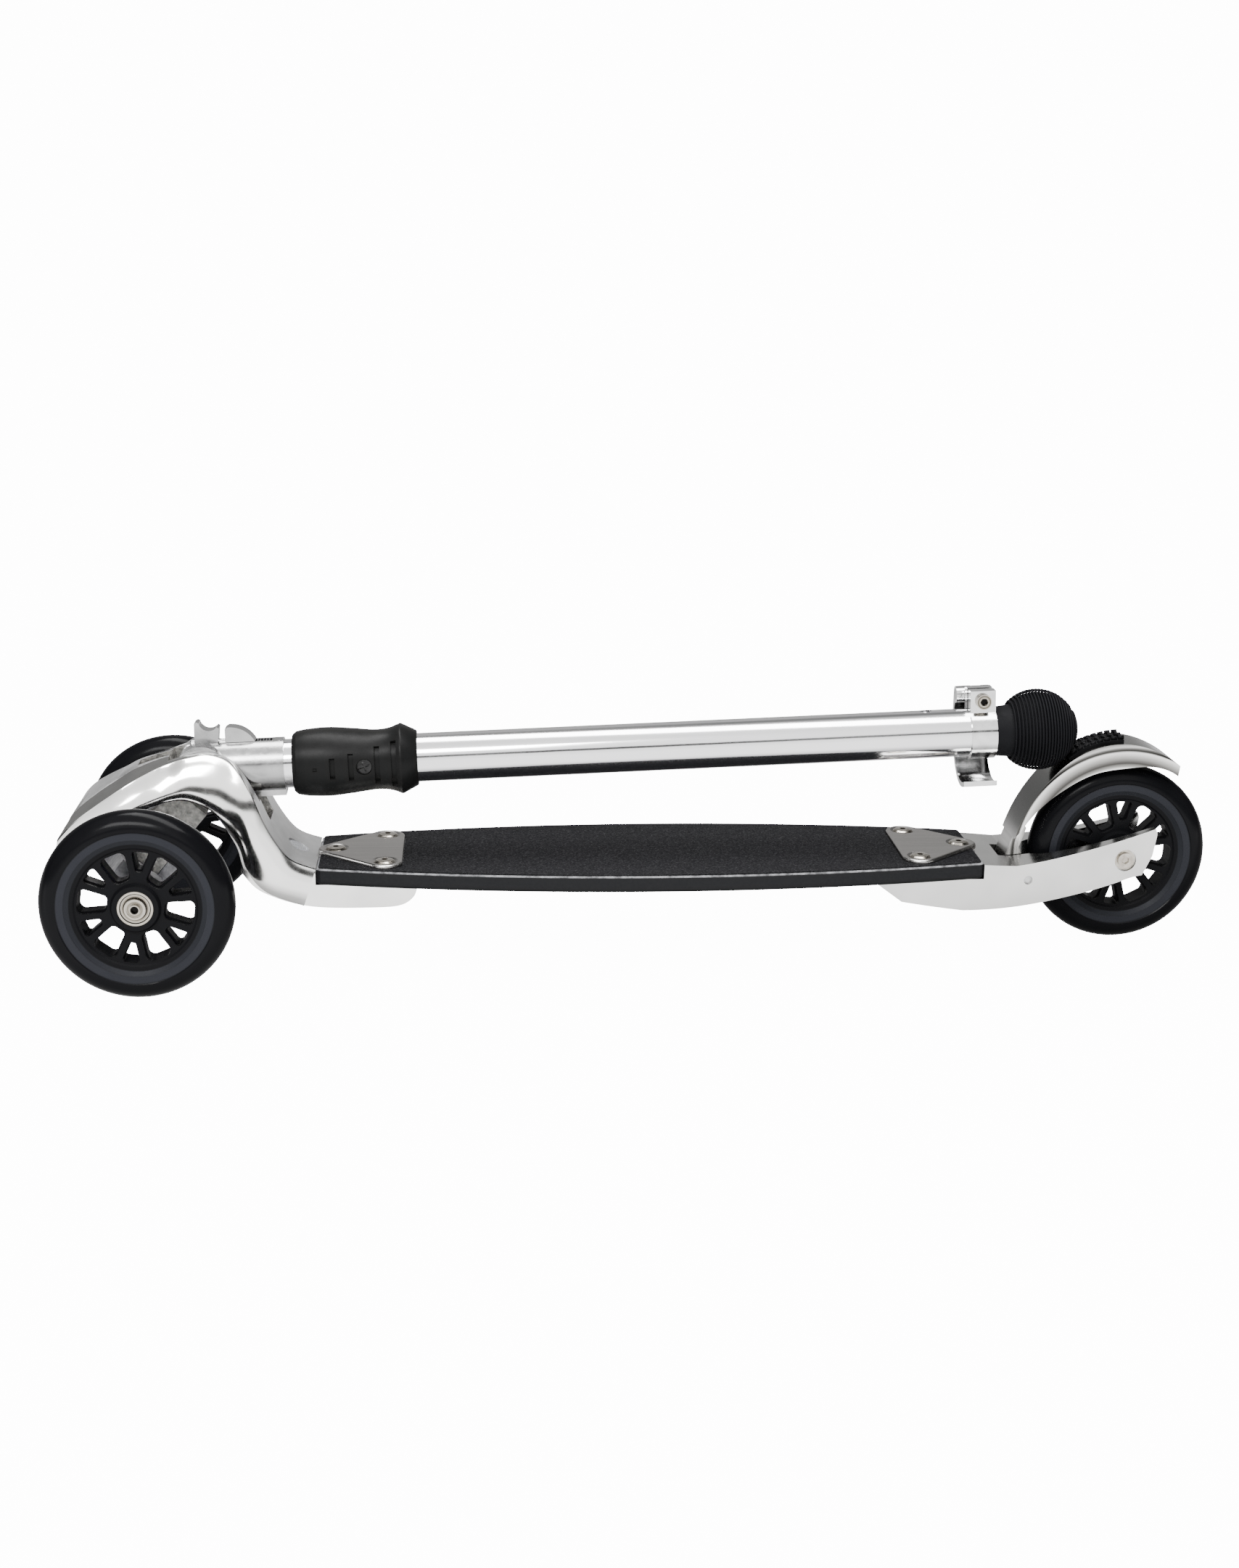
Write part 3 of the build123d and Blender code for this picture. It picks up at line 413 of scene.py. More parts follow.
def tyre_material(place, centre):
    """Cast urethane: glossy and almost black on the tread, slate grey and matt on the ring inside it."""
    shader = Shader(f"tyre {place}")
    radius = shader.from_axis(centre, (1, 0, 1))
    where = shader.mapped()
    cloud = shader.noise(where, 45)
    ring = shader.ramp(shader.map_range(radius, "Value", 0.0, 0.1, 0.0, 1.0), "Result", [
        (0.0, (0.014, 0.0145, 0.017)), (0.476, (0.019, 0.0198, 0.024)),
        (0.484, (0.0045, 0.0045, 0.0053)), (0.6, (0.0035, 0.0035, 0.0042))])
    tone = shader.ramp(cloud, "Fac", [(0.3, (0.75, 0.75, 0.78)), (0.7, (1, 1, 1))])
    shader.toned(ring, tone, 0.5)
    gloss = shader.map_range(radius, "Value", 0.0476, 0.0484, 0.46, 0.17)
    smear = shader.noise(where, 160, detail=6)
    wobble = shader.map_range(smear, "Fac", 0.3, 0.7, -0.03, 0.05)
    total = shader.add("ShaderNodeMath", operation="ADD")
    shader.join(gloss, "Result", total, 0)
    shader.join(wobble, "Result", total, 1)
    shader.join(total, "Value", shader.skin, "Roughness")
    shader.bump(smear, "Fac", 0.04, 0.0001)
    shader.set(Specular_IOR_Level=0.05)
    return shader.material


def tape_material():
    """Grip tape: near-black, with fine hard grains that catch the light."""
    shader = Shader("grip tape")
    where = shader.mapped()
    grains = shader.add("ShaderNodeTexVoronoi")
    grains.inputs["Scale"].default_value = 1500
    shader.join(where, "Vector", grains, "Vector")
    cloud = shader.noise(where, 900, detail=3)
    colour = shader.ramp(cloud, "Fac", [
        (0.4, (0.006, 0.006, 0.007)), (0.62, (0.013, 0.013, 0.0145)), (0.76, (0.035, 0.035, 0.038))])
    shader.join(colour, "Color", shader.skin, "Base Color")
    spread = shader.map_range(cloud, "Fac", 0.4, 0.75, 0.75, 0.4)
    shader.join(spread, "Result", shader.skin, "Roughness")
    shader.bump(grains, "Distance", 0.9, 0.0006)
    shader.set(Specular_IOR_Level=0.06)
    return shader.material


def floor_material():
    """A white sweep that looks even to the camera; to everything else it glows with a painted shadow close under
    the scooter and is darker behind it.
    """
    shader = Shader("floor")
    parts = shader.add("ShaderNodeSeparateXYZ")
    shader.join(shader.coords, "Object", parts, "Vector")
    place = shader.map_range(parts, "Y", -FLOOR_REACH, FLOOR_REACH, 0.0, 1.0)
    span = shader.map_range(parts, "X", -FLOOR_HALF, FLOOR_HALF, 0.0, 1.0)
    # painted shadow: the glow drops close under the scooter, and again further back
    depth = shader.ramp(place, "Result", greys(FLOOR_SHADOW_STEPS))
    wings = shader.ramp(span, "Result", greys(WING_STEPS))
    glow = shader.product(depth, "Color", wings, "Color")
    path = shader.add("ShaderNodeLightPath")
    level = shader.map_range(path, "Is Camera Ray", 0, 1, GLOW, WHITE_GLOW)
    mix = shader.add("ShaderNodeMix", data_type="RGBA")
    shader.join(path, "Is Camera Ray", mix, "Factor")
    shader.join(glow, "Value", mix, MIX_FIRST)
    mix.inputs[MIX_SECOND].default_value = (1, 1, 1, 1)
    shader.join(mix, MIX_RESULT, shader.skin, "Emission Color")
    shader.join(level, "Result", shader.skin, "Emission Strength")
    shader.set(Base_Color=(0.1, 0.1, 0.1, 1), Roughness=0.95, Specular_IOR_Level=0.0)
    return shader.material


def ringed_material(name, centre, stops, far, rough=(0.2, 0.34), metallic=1.0, scale=300, **constants):
    """A turned piece whose tone changes with the distance from an axis across the scooter: the cores' own two
    tones; on hubs, bolts and the fender, painted highlights, shade and reflections.
    """
    shader = Shader(name)
    radius = shader.from_axis(centre, (1, 0, 1))
    reach = shader.map_range(radius, "Value", 0.0, far, 0.0, 1.0)
    rings = shader.ramp(reach, "Result", [(at / far * MM, colour) for at, colour in stops])
    cloud = shader.noise(shader.mapped(), scale)
    tone = shader.ramp(cloud, "Fac", greys(((0.3, 0.88), (0.7, 1))))
    shader.toned(rings, tone, 1)
    spread = shader.map_range(cloud, "Fac", 0.3, 0.7, *rough)
    shader.join(spread, "Result", shader.skin, "Roughness")
    shader.set(Metallic=metallic, **constants)
    return shader


# rings of painted highlights, reflections and shade: the distance from the axis in mm, and the colour there
WARM, PALE, DARK = (0.16, 0.14, 0.11), (0.42, 0.39, 0.34), (0.008, 0.0075, 0.007)
HUB_PAINTED_LIGHT_RINGS = (
    (0, DARK), (2.4, DARK), (2.7, PALE), (4.6, WARM), (5.0, PALE), (6.4, PALE), (6.9, DARK), (7.2, DARK),
    (7.5, WARM), (8.8, PALE), (9.1, DARK), (9.4, DARK), (9.7, PALE), (10.6, PALE), (11.2, WARM))
SCREW_PAINTED_LIGHT_RINGS = (
    (0, DARK), (2.3, DARK), (2.6, PALE), (3.9, WARM), (4.2, DARK), (4.5, PALE), (6.6, PALE), (7.2, WARM))
# the fender's painted reflections: bright and dark streaks by the distance from the rear wheel's axis
FENDER_PAINTED_REFLECTIONS = (
    (50, (0.3, 0.29, 0.28)), (58, (0.4, 0.39, 0.38)), (60.6, (0.9, 0.89, 0.87)), (62, (0.3, 0.295, 0.28)),
    (64.2, (0.05, 0.048, 0.045)), (66, (0.14, 0.135, 0.13)), (68.5, (0.36, 0.355, 0.34)),
    (71.5, (0.8, 0.79, 0.77)), (72.6, (0.03, 0.029, 0.027)), (74, (0.1, 0.098, 0.094)),
    (75.3, (0.5, 0.49, 0.48)), (78, (0.1, 0.098, 0.094)), (84, (0.25, 0.245, 0.24)))


def fender_material(centre):
    """Polished sheet with painted reflections: bright and dark streaks that follow its curve over the wheel."""
    shader = ringed_material("fender plate", centre, FENDER_PAINTED_REFLECTIONS, 0.09, (0.14, 0.24), scale=40)
    radius = shader.from_axis(centre, (1, 0, 1))
    reach = shader.map_range(radius, "Value", 0.06, 0.08, 0.0, 1.0)
    swell = shader.ramp(reach, "Result", greys(((0.0, 0), (0.5, 0.6), (0.6, 1), (0.66, 0.5), (0.8, 0.8))))
    shader.bump(swell, "Color", 0.5, 0.002)
    return shader.material


def board_material(top):
    """The moulded black board, with a painted highlight along the top edge of its side."""
    shader = Shader("deck board")
    where = shader.mapped()
    parts = shader.add("ShaderNodeSeparateXYZ")
    shader.join(shader.coords, "Object", parts, "Vector")
    # painted highlight: a pale line along the top edge of the board's side, broken up by noise
    edge = shader.map_range(parts, "Z", top - 0.0011, top - 0.0006, 0.0, 1.0)
    edge_highlight_noise = shader.noise(where, 220, detail=5)
    edge_highlight_breakup = shader.map_range(edge_highlight_noise, "Fac", 0.35, 0.6, 0.25, 1.0)
    both = shader.product(edge, "Result", edge_highlight_breakup, "Result")
    colour = shader.ramp(both, "Value", [(0.0, (0.005, 0.005, 0.006)), (1.0, (0.2, 0.2, 0.21))])
    shader.join(colour, "Color", shader.skin, "Base Color")
    fine = shader.noise(where, 500, detail=5)
    spread = shader.map_range(fine, "Fac", 0.3, 0.7, 0.32, 0.5)
    shader.join(spread, "Result", shader.skin, "Roughness")
    shader.bump(fine, "Fac", 0.1, 0.0002)
    shader.set(Specular_IOR_Level=0.14)
    return shader.material


MATERIALS = {}
WHEELS = ("left", "right", "rear")
# the pieces whose finish is not their slot's own: rings of painted highlights and shade about their axis
FINISHES = {
    "front_axle_screws": "hub_left", "front_axle_washers": "hub_left", "clamp_bolt": "clamp_bolt"}
# each wheel's pieces with a finish centred on that wheel
WHEEL_FINISHES = {"tyre": "tyre", "core": "core", "bearings": "hub"}
BAR_TURN = (0, -atan2(ALONG.z, ALONG.x), 0)


def wheel_centre(place):
    """Where a wheel's axis crosses its middle."""
    return tuple(JOINTS[f"{place}_wheel_spin"]["pos_m"])


def make_materials(look):
    """Every finish of the scooter, by the record's slot."""
    neck = tuple(look.casting_colour)
    tube = tuple(look.tube_colour)
    dark = tuple(part * 0.82 for part in neck)
    found = {
        "neck_metal": mottled("polished casting", dark, neck, (0.08, 0.15), 30, 1.0, relief=0.05,
                              relief_scale=900, depth=0.0001),
        "holder_metal": mottled("polished holder", tuple(part * 0.62 for part in neck),
                                tuple(part * 0.74 for part in neck), (0.16, 0.28), 35, 1.0, relief=0.06,
                                relief_scale=900, depth=0.0001),
        "cast_metal": mottled("rough casting", (0.2, 0.2, 0.19), (0.62, 0.61, 0.58), (0.3, 0.5), 260, 1.0,
                              relief=0.5, relief_scale=700, depth=0.0008),
        "satin_metal": mottled("satin casting", (0.6, 0.6, 0.6), (0.7, 0.7, 0.7), (0.34, 0.46), 90, 1.0,
                               relief=0.08, relief_scale=1200, depth=0.0001),
        "tube_metal": mottled("drawn tube", tuple(part * 0.92 for part in tube), tube, (0.1, 0.16), 60, 1.0,
                              grain=(0.03, 1, 1), turn=BAR_TURN, relief=0.05, relief_scale=900, depth=0.0001),
        "socket_metal": mottled("socket casting", (0.3, 0.3, 0.3), (0.44, 0.44, 0.44), (0.16, 0.3), 70, 1.0,
                                relief=0.1, relief_scale=700, depth=0.0002),
        "clamp_metal": mottled("clamp", (0.55, 0.55, 0.55), (0.72, 0.72, 0.72), (0.1, 0.18), 90, 1.0,
                               relief=0.06, relief_scale=900, depth=0.0001),
        "truck_metal": mottled("truck casting", (0.2, 0.2, 0.21), (0.42, 0.42, 0.44), (0.3, 0.5), 150, 1.0,
                               relief=0.3, relief_scale=600, depth=0.0004),
        "badge_metal": mottled("badge", (0.6, 0.62, 0.66), (0.76, 0.77, 0.8), (0.2, 0.32), 240, 0.9),
        "fender_metal": fender_material(wheel_centre("rear")),
        "plate_metal": mottled("guard plate", (0.44, 0.43, 0.42), (0.5, 0.488, 0.475), (0.2, 0.26), 300, 1.0,
                               grain=(0.04, 1, 1), relief=0.01, relief_scale=900, depth=0.0001,
                               Specular_Tint=(0.7, 0.69, 0.68, 1)),
        "bolt_metal": mottled("bolt", (0.3, 0.27, 0.23), (0.5, 0.47, 0.42), (0.14, 0.28), 260, 1.0),
        "pin_metal": mottled("pin steel", (0.36, 0.36, 0.36), (0.58, 0.58, 0.58), (0.25, 0.4), 200, 1.0),
        "spring_metal": mottled("spring steel", (0.22, 0.22, 0.23), (0.42, 0.42, 0.43), (0.25, 0.4), 300,
                                1.0),
        "bearing_metal": mottled("bearing shield", (0.34, 0.31, 0.27), (0.52, 0.49, 0.44), (0.18, 0.32),
                                 300, 1.0),
        "sleeve_plastic": mottled("sleeve", (0.006, 0.006, 0.006), (0.008, 0.008, 0.008), (0.3, 0.42), 50,
                                  relief=0.08, relief_scale=1500, depth=0.0001, Specular_IOR_Level=0.07),
        "screw_metal": mottled("black screw", (0.006, 0.006, 0.006), (0.02, 0.02, 0.02), (0.2, 0.34), 300,
                               0.6),
        "knob_rubber": mottled("knob rubber", (0.004, 0.004, 0.0048), (0.006, 0.006, 0.0072), (0.5, 0.66),
                               60, relief=0.12, relief_scale=1400, depth=0.0001, Specular_IOR_Level=0.06),
        "pad_rubber": mottled("brake pad", (0.003, 0.003, 0.0034), (0.006, 0.006, 0.0066), (0.3, 0.5), 120,
                              relief=0.2, relief_scale=900, depth=0.0002, Specular_IOR_Level=0.05),
        "steer_rubber": mottled("steering rubber", (0.02, 0.02, 0.02), (0.05, 0.05, 0.05), (0.5, 0.7), 120),
        "bush_plastic": mottled("bush", (0.015, 0.015, 0.015), (0.04, 0.04, 0.04), (0.4, 0.55), 150),
        "tape_grit": tape_material(),
        "deck_black": board_material(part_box("deck_board")[1][2]),
    }
    slate = (0.015, 0.0158, 0.019)
    black = (0.0045, 0.0045, 0.0053)
    for place in WHEELS:
        centre = wheel_centre(place)
        found[f"tyre_{place}"] = tyre_material(place, centre)
        rings = ((0, black), (40.2, black), (40.9, slate), (44, slate))
        found[f"core_{place}"] = ringed_material(
            f"core {place}", centre, rings, 0.044, (0.36, 0.5), 0.0, 80, Specular_IOR_Level=0.05).material
        # the hubs' rings are painted highlights and painted shade about the wheel's axis
        found[f"hub_{place}"] = ringed_material(f"hub {place}", centre, HUB_PAINTED_LIGHT_RINGS, 0.012).material
    # the clamp bolt's rings are painted highlights and painted shade in its socket
    clamp_centre = tuple((a + b) / 2 for a, b in zip(*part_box("clamp_bolt")))
    found["clamp_bolt"] = ringed_material("clamp bolt", clamp_centre, SCREW_PAINTED_LIGHT_RINGS, 0.008).material
    return found


# ---- what a user would change ----------------------------------------------------------------------

class ScooterLook(bpy.types.PropertyGroup):
    """Colours and sizes of the scooter's finished pieces."""

    casting_colour: bpy.props.FloatVectorProperty(
        name="Casting colour", description="Colour of the polished neck and rear holder", subtype="COLOR",
        size=3, min=0, max=1, default=(0.92, 0.915, 0.895))
    tube_colour: bpy.props.FloatVectorProperty(
        name="Tube colour", description="Colour of the drawn aluminium tube", subtype="COLOR", size=3,
        min=0, max=1, default=(0.84, 0.84, 0.85))
    knob_radius: bpy.props.FloatProperty(
        name="Knob radius", description="Outer radius of the ribbed ball", subtype="DISTANCE", unit="LENGTH",
        default=0.027)
    knob_rings: bpy.props.IntProperty(
        name="Knob rings", description="How many raised rings run round the ball", default=20, min=4)
    stud_length: bpy.props.FloatProperty(
        name="Stud length", description="Length of each raised dash on the brake pad", subtype="DISTANCE",
        unit="LENGTH", default=0.0042)


# ---- stage -----------------------------------------------------------------------------------------

CAMERA_PLACE = Vector((-0.1139, -1.4452, 0.4846))
CAMERA_YAW = 0.0675
CAMERA_PITCH = 0.2542
CAMERA_ROLL = 0.0096
LENS_MM = 52.11
SENSOR_MM = 36
# the floor, in metres: how far it reaches, half its width, and where it bends up behind and how gently
FLOOR_REACH = 5
FLOOR_HALF = 7
BEND_START = 2.6
BEND_RADIUS = 1.6
# brightness of the surroundings from the front over the top to the back, and from side to side, and of
# the floor from front to back and from side to side
SKY_STEPS = ((0.0, 1.0), (0.05, 1.0), (0.062, 0.02), (0.105, 0.02), (0.117, 1.0), (0.33, 0.85), (0.5, 0.7),
             (0.6, 0.4), (0.66, 0.1), (0.86, 0.1), (1.0, 0.4))
SIDE_STEPS = ((0.0, 0.1), (0.18, 0.25), (0.3, 1.0), (0.66, 1.0), (0.78, 0.14), (1.0, 0.08))
# the floor's glow from front to back holds a painted shadow close under the scooter
FLOOR_SHADOW_STEPS = ((0.0, 1.0), (0.484, 1.0), (0.493, 0.2), (0.506, 0.15), (0.53, 0.2), (0.6, 0.5), (0.75, 0.2))
WING_STEPS = ((0.0, 0.12), (0.35, 0.3), (0.42, 1.0), (0.58, 1.0), (0.65, 0.3), (1.0, 0.1))
# the glow of floor and surroundings, and the floor's to the camera, which keeps the backdrop white
GLOW = 2.4
WHITE_GLOW = 14


def area_light(name, place, target, size, power):
    """A soft square light that looks at a point."""
    lamp = bpy.data.lights.new(name, "AREA")
    lamp.shape = "RECTANGLE"
    lamp.size, lamp.size_y = size
    lamp.energy = power
    obj = link(bpy.data.objects.new(name, lamp))
    aim = Vector(target) - Vector(place)
    obj.matrix_world = Matrix.Translation(place) @ aim.to_track_quat("-Z", "Y").to_matrix().to_4x4()
    return obj


def make_floor():
    """A floor that bends up into a backdrop behind the scooter."""
    profile = [(-FLOOR_REACH, 0), (BEND_START, 0)]
    for turn in range(6, 91, 6):
        angle = radians(turn)
        profile.append((BEND_START + BEND_RADIUS * sin(angle), BEND_RADIUS - BEND_RADIUS * cos(angle)))
    profile.append((BEND_START + BEND_RADIUS, FLOOR_REACH))
    count = len(profile)
    vertices = [(x, y, z) for x in (-FLOOR_HALF, FLOOR_HALF) for y, z in profile]
    faces = [(k, k + 1, k + 1 + count, k + count) for k in range(count - 1)]
    return smooth(mesh_object("floor", vertices, faces, floor_material()))


def make_surroundings(world):
    """Greys all round the scooter, by the angle over the top and by the side."""
    world.use_nodes = True
    sky = Tree(world.node_tree)
    coords = sky.add("ShaderNodeTexCoord")
    parts = sky.add("ShaderNodeSeparateXYZ")
    sky.join(coords, "Generated", parts, "Vector")
    away = sky.add("ShaderNodeMath", operation="MULTIPLY")
    away.inputs[1].default_value = -1
    sky.join(parts, "Y", away, 0)
    turn = sky.add("ShaderNodeMath", operation="ARCTAN2")
    sky.join(parts, "Z", turn, 0)
    sky.join(away, "Value", turn, 1)
    over = sky.add("ShaderNodeMapRange")
    for key, value in (("From Min", pi), ("From Max", 0), ("To Min", 1), ("To Max", 0)):
        over.inputs[key].default_value = value
    sky.join(turn, "Value", over, "Value")
    across = sky.add("ShaderNodeMapRange")
    across.inputs["From Min"].default_value = -1
    sky.join(parts, "X", across, "Value")
    tones = []
    for source, steps in ((over, SKY_STEPS), (across, SIDE_STEPS)):
        tone = sky.add("ShaderNodeValToRGB")
        set_stops(tone, greys(steps))
        sky.join(source, "Result", tone, "Fac")
        tones.append(tone)
    both = sky.product(tones[0], "Color", tones[1], "Color")
    back = world.node_tree.nodes["Background"]
    sky.join(both, "Value", back, "Color")
    back.inputs["Strength"].default_value = GLOW


def make_camera():
    """The camera that looks at the scooter's left side from a little above."""
    forward = Vector((sin(CAMERA_YAW) * cos(CAMERA_PITCH), cos(CAMERA_YAW) * cos(CAMERA_PITCH),
                      -sin(CAMERA_PITCH)))
    level = Vector((cos(CAMERA_YAW), -sin(CAMERA_YAW), 0))
    upright = level.cross(forward)
    right = cos(CAMERA_ROLL) * level + sin(CAMERA_ROLL) * upright
    up = cos(CAMERA_ROLL) * upright - sin(CAMERA_ROLL) * level
    lens = bpy.data.cameras.new("camera")
    lens.lens = LENS_MM
    lens.sensor_width = SENSOR_MM
    lens.clip_start = 0.01
    camera = link(bpy.data.objects.new("camera", lens))
    turn = Matrix((right, up, -forward)).transposed().to_4x4()
    camera.matrix_world = Matrix.Translation(CAMERA_PLACE) @ turn
    return camera


class SCOOTER_OT_stage(bpy.types.Operator):
    """Make the floor, the lights, the surroundings and the camera"""

    bl_idname = "scooter.stage"
    bl_label = "Make Stage"

    def execute(self, context):
        floor = make_floor()
        world = bpy.data.worlds.new("studio")
        context.scene.world = world
        make_surroundings(world)
        area_light("key", (-0.7, -1.6, 1.7), (0, 0, 0.08), (1.4, 0.6), 60)
        area_light("top", (0.1, 0.1, 2.2), (0, 0, 0.05), (2.6, 0.7), 90)
        context.scene.camera = make_camera()
        return {"FINISHED"}


# ---- finishes on the pieces that keep their CAD shape ----------------------------------------------

class SCOOTER_OT_finishes(bpy.types.Operator):
    """Give every piece of the frame its own finish"""

    bl_idname = "scooter.finishes"
    bl_label = "Make Finishes"

    def execute(self, context):
        MATERIALS.update(make_materials(context.scene.scooter_look))
        slots = {part["node"]: part["material_slot"] for part in frame["record"]["subparts"]}
        for node, obj in frame["nodes"].items():
            place, _, kind = node.partition("_")
            slot = FINISHES.get(node, slots[node])
            if place in WHEELS and kind in WHEEL_FINISHES:
                slot = f"{WHEEL_FINISHES[kind]}_{place}"
            if not obj.material_slots:
                obj.data.materials.append(MATERIALS[slot])
            for entry in obj.material_slots:
                entry.material = MATERIALS[slot]
        return {"FINISHED"}


# ---- geometry nodes --------------------------------------------------------------------------------

class Builder(Tree):
    """A geometry node tree with named inputs that ends in Realize Instances and Set Material."""

    def __init__(self, name, inputs):
        super().__init__(bpy.data.node_groups.new(name, "GeometryNodeTree"))
        self.sockets = {}
        for label, kind in inputs.items():
            self.sockets[label] = self.tree.interface.new_socket(label, in_out="INPUT", socket_type=kind)
        self.tree.interface.new_socket("Geometry", in_out="OUTPUT", socket_type="NodeSocketGeometry")
        self.entry = self.add("NodeGroupInput")
        self.leave = self.add("NodeGroupOutput")

    def close(self, source, output):
        """Realize, shade smooth and paint what a node gives, and send it out."""
        real = self.add("GeometryNodeRealizeInstances")
        soft = self.add("GeometryNodeSetShadeSmooth")
        paint = self.add("GeometryNodeSetMaterial")
        self.join(source, output, soft, "Geometry")
        self.join(soft, "Geometry", real, "Geometry")
        self.join(real, "Geometry", paint, "Geometry")
        self.join(self.entry, "Material", paint, "Material")
        self.join(paint, "Geometry", self.leave, "Geometry")

    def run(self, name, values, place):
        """A plain mesh object made by the tree, put in its place."""
        obj = link(bpy.data.objects.new(name, bpy.data.meshes.new(name)))
        modifier = obj.modifiers.new(name, "NODES")
        modifier.node_group = self.tree
        for label, value in values.items():
            modifier[self.sockets[label].identifier] = value
        baked(obj)
        obj.data.transform(place)
        return obj


# ---- knob ------------------------------------------------------------------------------------------

# in mm: places along the bar, the neck's and the cap's inner and outer radii, the beads' radius and the
# first and last of them from the centre, how far the skin lies under the ball, and the ledge past the beads
KNOB_CENTRE = 547.9
KNOB_NECK_END = KNOB_CENTRE - 28.9
NECK_LENGTH = 9
NECK_RADII = (15.4, 16.2)
CAP_RADII = (11.1, 11.3)
BEAD = 0.72
FIRST_BEAD, LAST_BEAD = -17.6, 21.0
SKIN_DEPTH = 2.2
LEDGE = 2.2


def ring_tree():
    """Rings along Z whose radius follows a ball, each one a round bead."""
    tree = Builder("knob rings", {
        "Rings": "NodeSocketInt", "Ball Radius": "NodeSocketFloat", "Bead Radius": "NodeSocketFloat",
        "First": "NodeSocketFloat", "Last": "NodeSocketFloat", "Material": "NodeSocketMaterial"})
    line = tree.add("GeometryNodeMeshLine", mode="END_POINTS")
    tree.join(tree.entry, "Rings", line, "Count")
    for label, entry in (("First", "Start Location"), ("Last", "Offset")):
        place = tree.add("ShaderNodeCombineXYZ")
        tree.join(tree.entry, label, place, "Z")
        tree.join(place, "Vector", line, entry)
    where = tree.add("GeometryNodeInputPosition")
    parts = tree.add("ShaderNodeSeparateXYZ")
    tree.join(where, "Position", parts, "Vector")
    square = tree.product(parts, "Z", parts, "Z")
    ball = tree.product(tree.entry, "Ball Radius", tree.entry, "Ball Radius")
    rest = tree.add("ShaderNodeMath", operation="SUBTRACT")
    tree.join(ball, "Value", rest, 0)
    tree.join(square, "Value", rest, 1)
    radius = tree.add("ShaderNodeMath", operation="SQRT")
    tree.join(rest, "Value", radius, 0)
    circle = tree.add("GeometryNodeCurvePrimitiveCircle")
    circle.inputs["Resolution"].default_value = 96
    circle.inputs["Radius"].default_value = 1
    size = tree.add("ShaderNodeCombineXYZ")
    tree.join(radius, "Value", size, "X")
    tree.join(radius, "Value", size, "Y")
    size.inputs["Z"].default_value = 1
    spread = tree.add("GeometryNodeInstanceOnPoints")
    tree.join(line, "Mesh", spread, "Points")
    tree.join(circle, "Curve", spread, "Instance")
    tree.join(size, "Vector", spread, "Scale")
    real = tree.add("GeometryNodeRealizeInstances")
    tree.join(spread, "Instances", real, "Geometry")
    bead = tree.add("GeometryNodeCurvePrimitiveCircle")
    bead.inputs["Resolution"].default_value = 10
    tree.join(tree.entry, "Bead Radius", bead, "Radius")
    solid = tree.add("GeometryNodeCurveToMesh")
    tree.join(real, "Geometry", solid, "Curve")
    tree.join(bead, "Curve", solid, "Profile Curve")
    tree.close(solid, "Mesh")
    return tree


class SCOOTER_OT_knob(bpy.types.Operator):
    """Make the ribbed rubber ball on the bar's end"""

    bl_idname = "scooter.knob"
    bl_label = "Make Knob"

    def execute(self, context):
        look = context.scene.scooter_look
        radius = look.knob_radius / MM - SKIN_DEPTH
        profile = [(KNOB_NECK_END, size) for size in NECK_RADII]
        steps = 30
        for k in range(steps + 1):
            at = FIRST_BEAD + (LAST_BEAD + LEDGE - FIRST_BEAD) * k / steps
            reach = sqrt(radius ** 2 - at ** 2) if abs(at) < radius else 0
            profile.append((KNOB_CENTRE + at, max(reach, CAP_RADII[1])))
        cap = KNOB_CENTRE + LAST_BEAD
        profile += [(cap + LEDGE + 0.1, CAP_RADII[0]), (cap, CAP_RADII[0]),
                    (KNOB_NECK_END + NECK_LENGTH, NECK_RADII[0])]
        skin = lathe("knob_skin", profile, 96, MATERIALS["knob_rubber"])
        finish_piece(smooth(skin), "extension", "knob_rubber", "knob_grip")
        turn = Matrix((ALONG.cross(SIDE), SIDE, ALONG)).transposed().to_4x4()
        place = Matrix.Translation(PIVOT + ALONG * KNOB_CENTRE * MM) @ turn
        rings = ring_tree().run("knob_ribs", {
            "Rings": look.knob_rings, "Ball Radius": look.knob_radius - BEAD * MM, "Bead Radius": BEAD * MM,
            "First": FIRST_BEAD * MM, "Last": LAST_BEAD * MM, "Material": MATERIALS["knob_rubber"]}, place)
        finish_piece(rings, "extension", "knob_rubber")
        return {"FINISHED"}


# ---- neck ------------------------------------------------------------------------------------------

# each station across the arch: crown x and z, lower edge x and z, half widths of the crease, the lower
# edge and the satin strip, and how far that strip stands over the crease
NECK_STATIONS = [
    (-379, 83, -380, 77.5, 68, 70, 42, 1.5), (-365, 98, -364, 85, 54, 60, 31, 3.5),
    (-351, 107.5, -346, 94, 45, 52, 22.5, 4), (-338, 115.2, -334, 99, 37, 46, 15, 4),
    (-327, 121.3, -322, 103, 32, 41, 12, 4), (-310, 128.6, -310, 107, 24.5, 37, 8, 2.5),
    (-293, 134, -298, 108.5, 25, 36, 20.5, 0.8), (-279, 135, -286, 105.5, 24, 36, 20, 0.6),
    (-266, 128.5, -276, 97.5, 26, 36, 22, 0.5), (-254, 110, -264.4, 79, 34, 37, 29, 0.4),
    (-244, 87.5, -258.8, 61, 36.5, 37.5, 33.5, 0.4), (-231, 69.5, -246, 47, 37.5, 38, 35.5, 0.3),
    (-214.3, 62.4, -222, 38.3, 38, 38.5, 36.5, 0.3),
]
# one more station in front of them, for the hollow inside, which runs out of the casting there
NECK_AHEAD = (-390, 71.2, -391, 65.7, 70, 72, 44.5, 1.5)
NECK_WALL = 5
GAPS = 6
LEAST_RISE = 0.7
CHEEK_BULGE = 2.2
# the bow of the front edge: how many rings it goes back in the middle, over how many rings it fades, the
# half width that it spans and the radius of its curve in mm
BOW, BOW_FADE, BOW_HALF, BOW_RADIUS = 5.6, 14, 60, 72


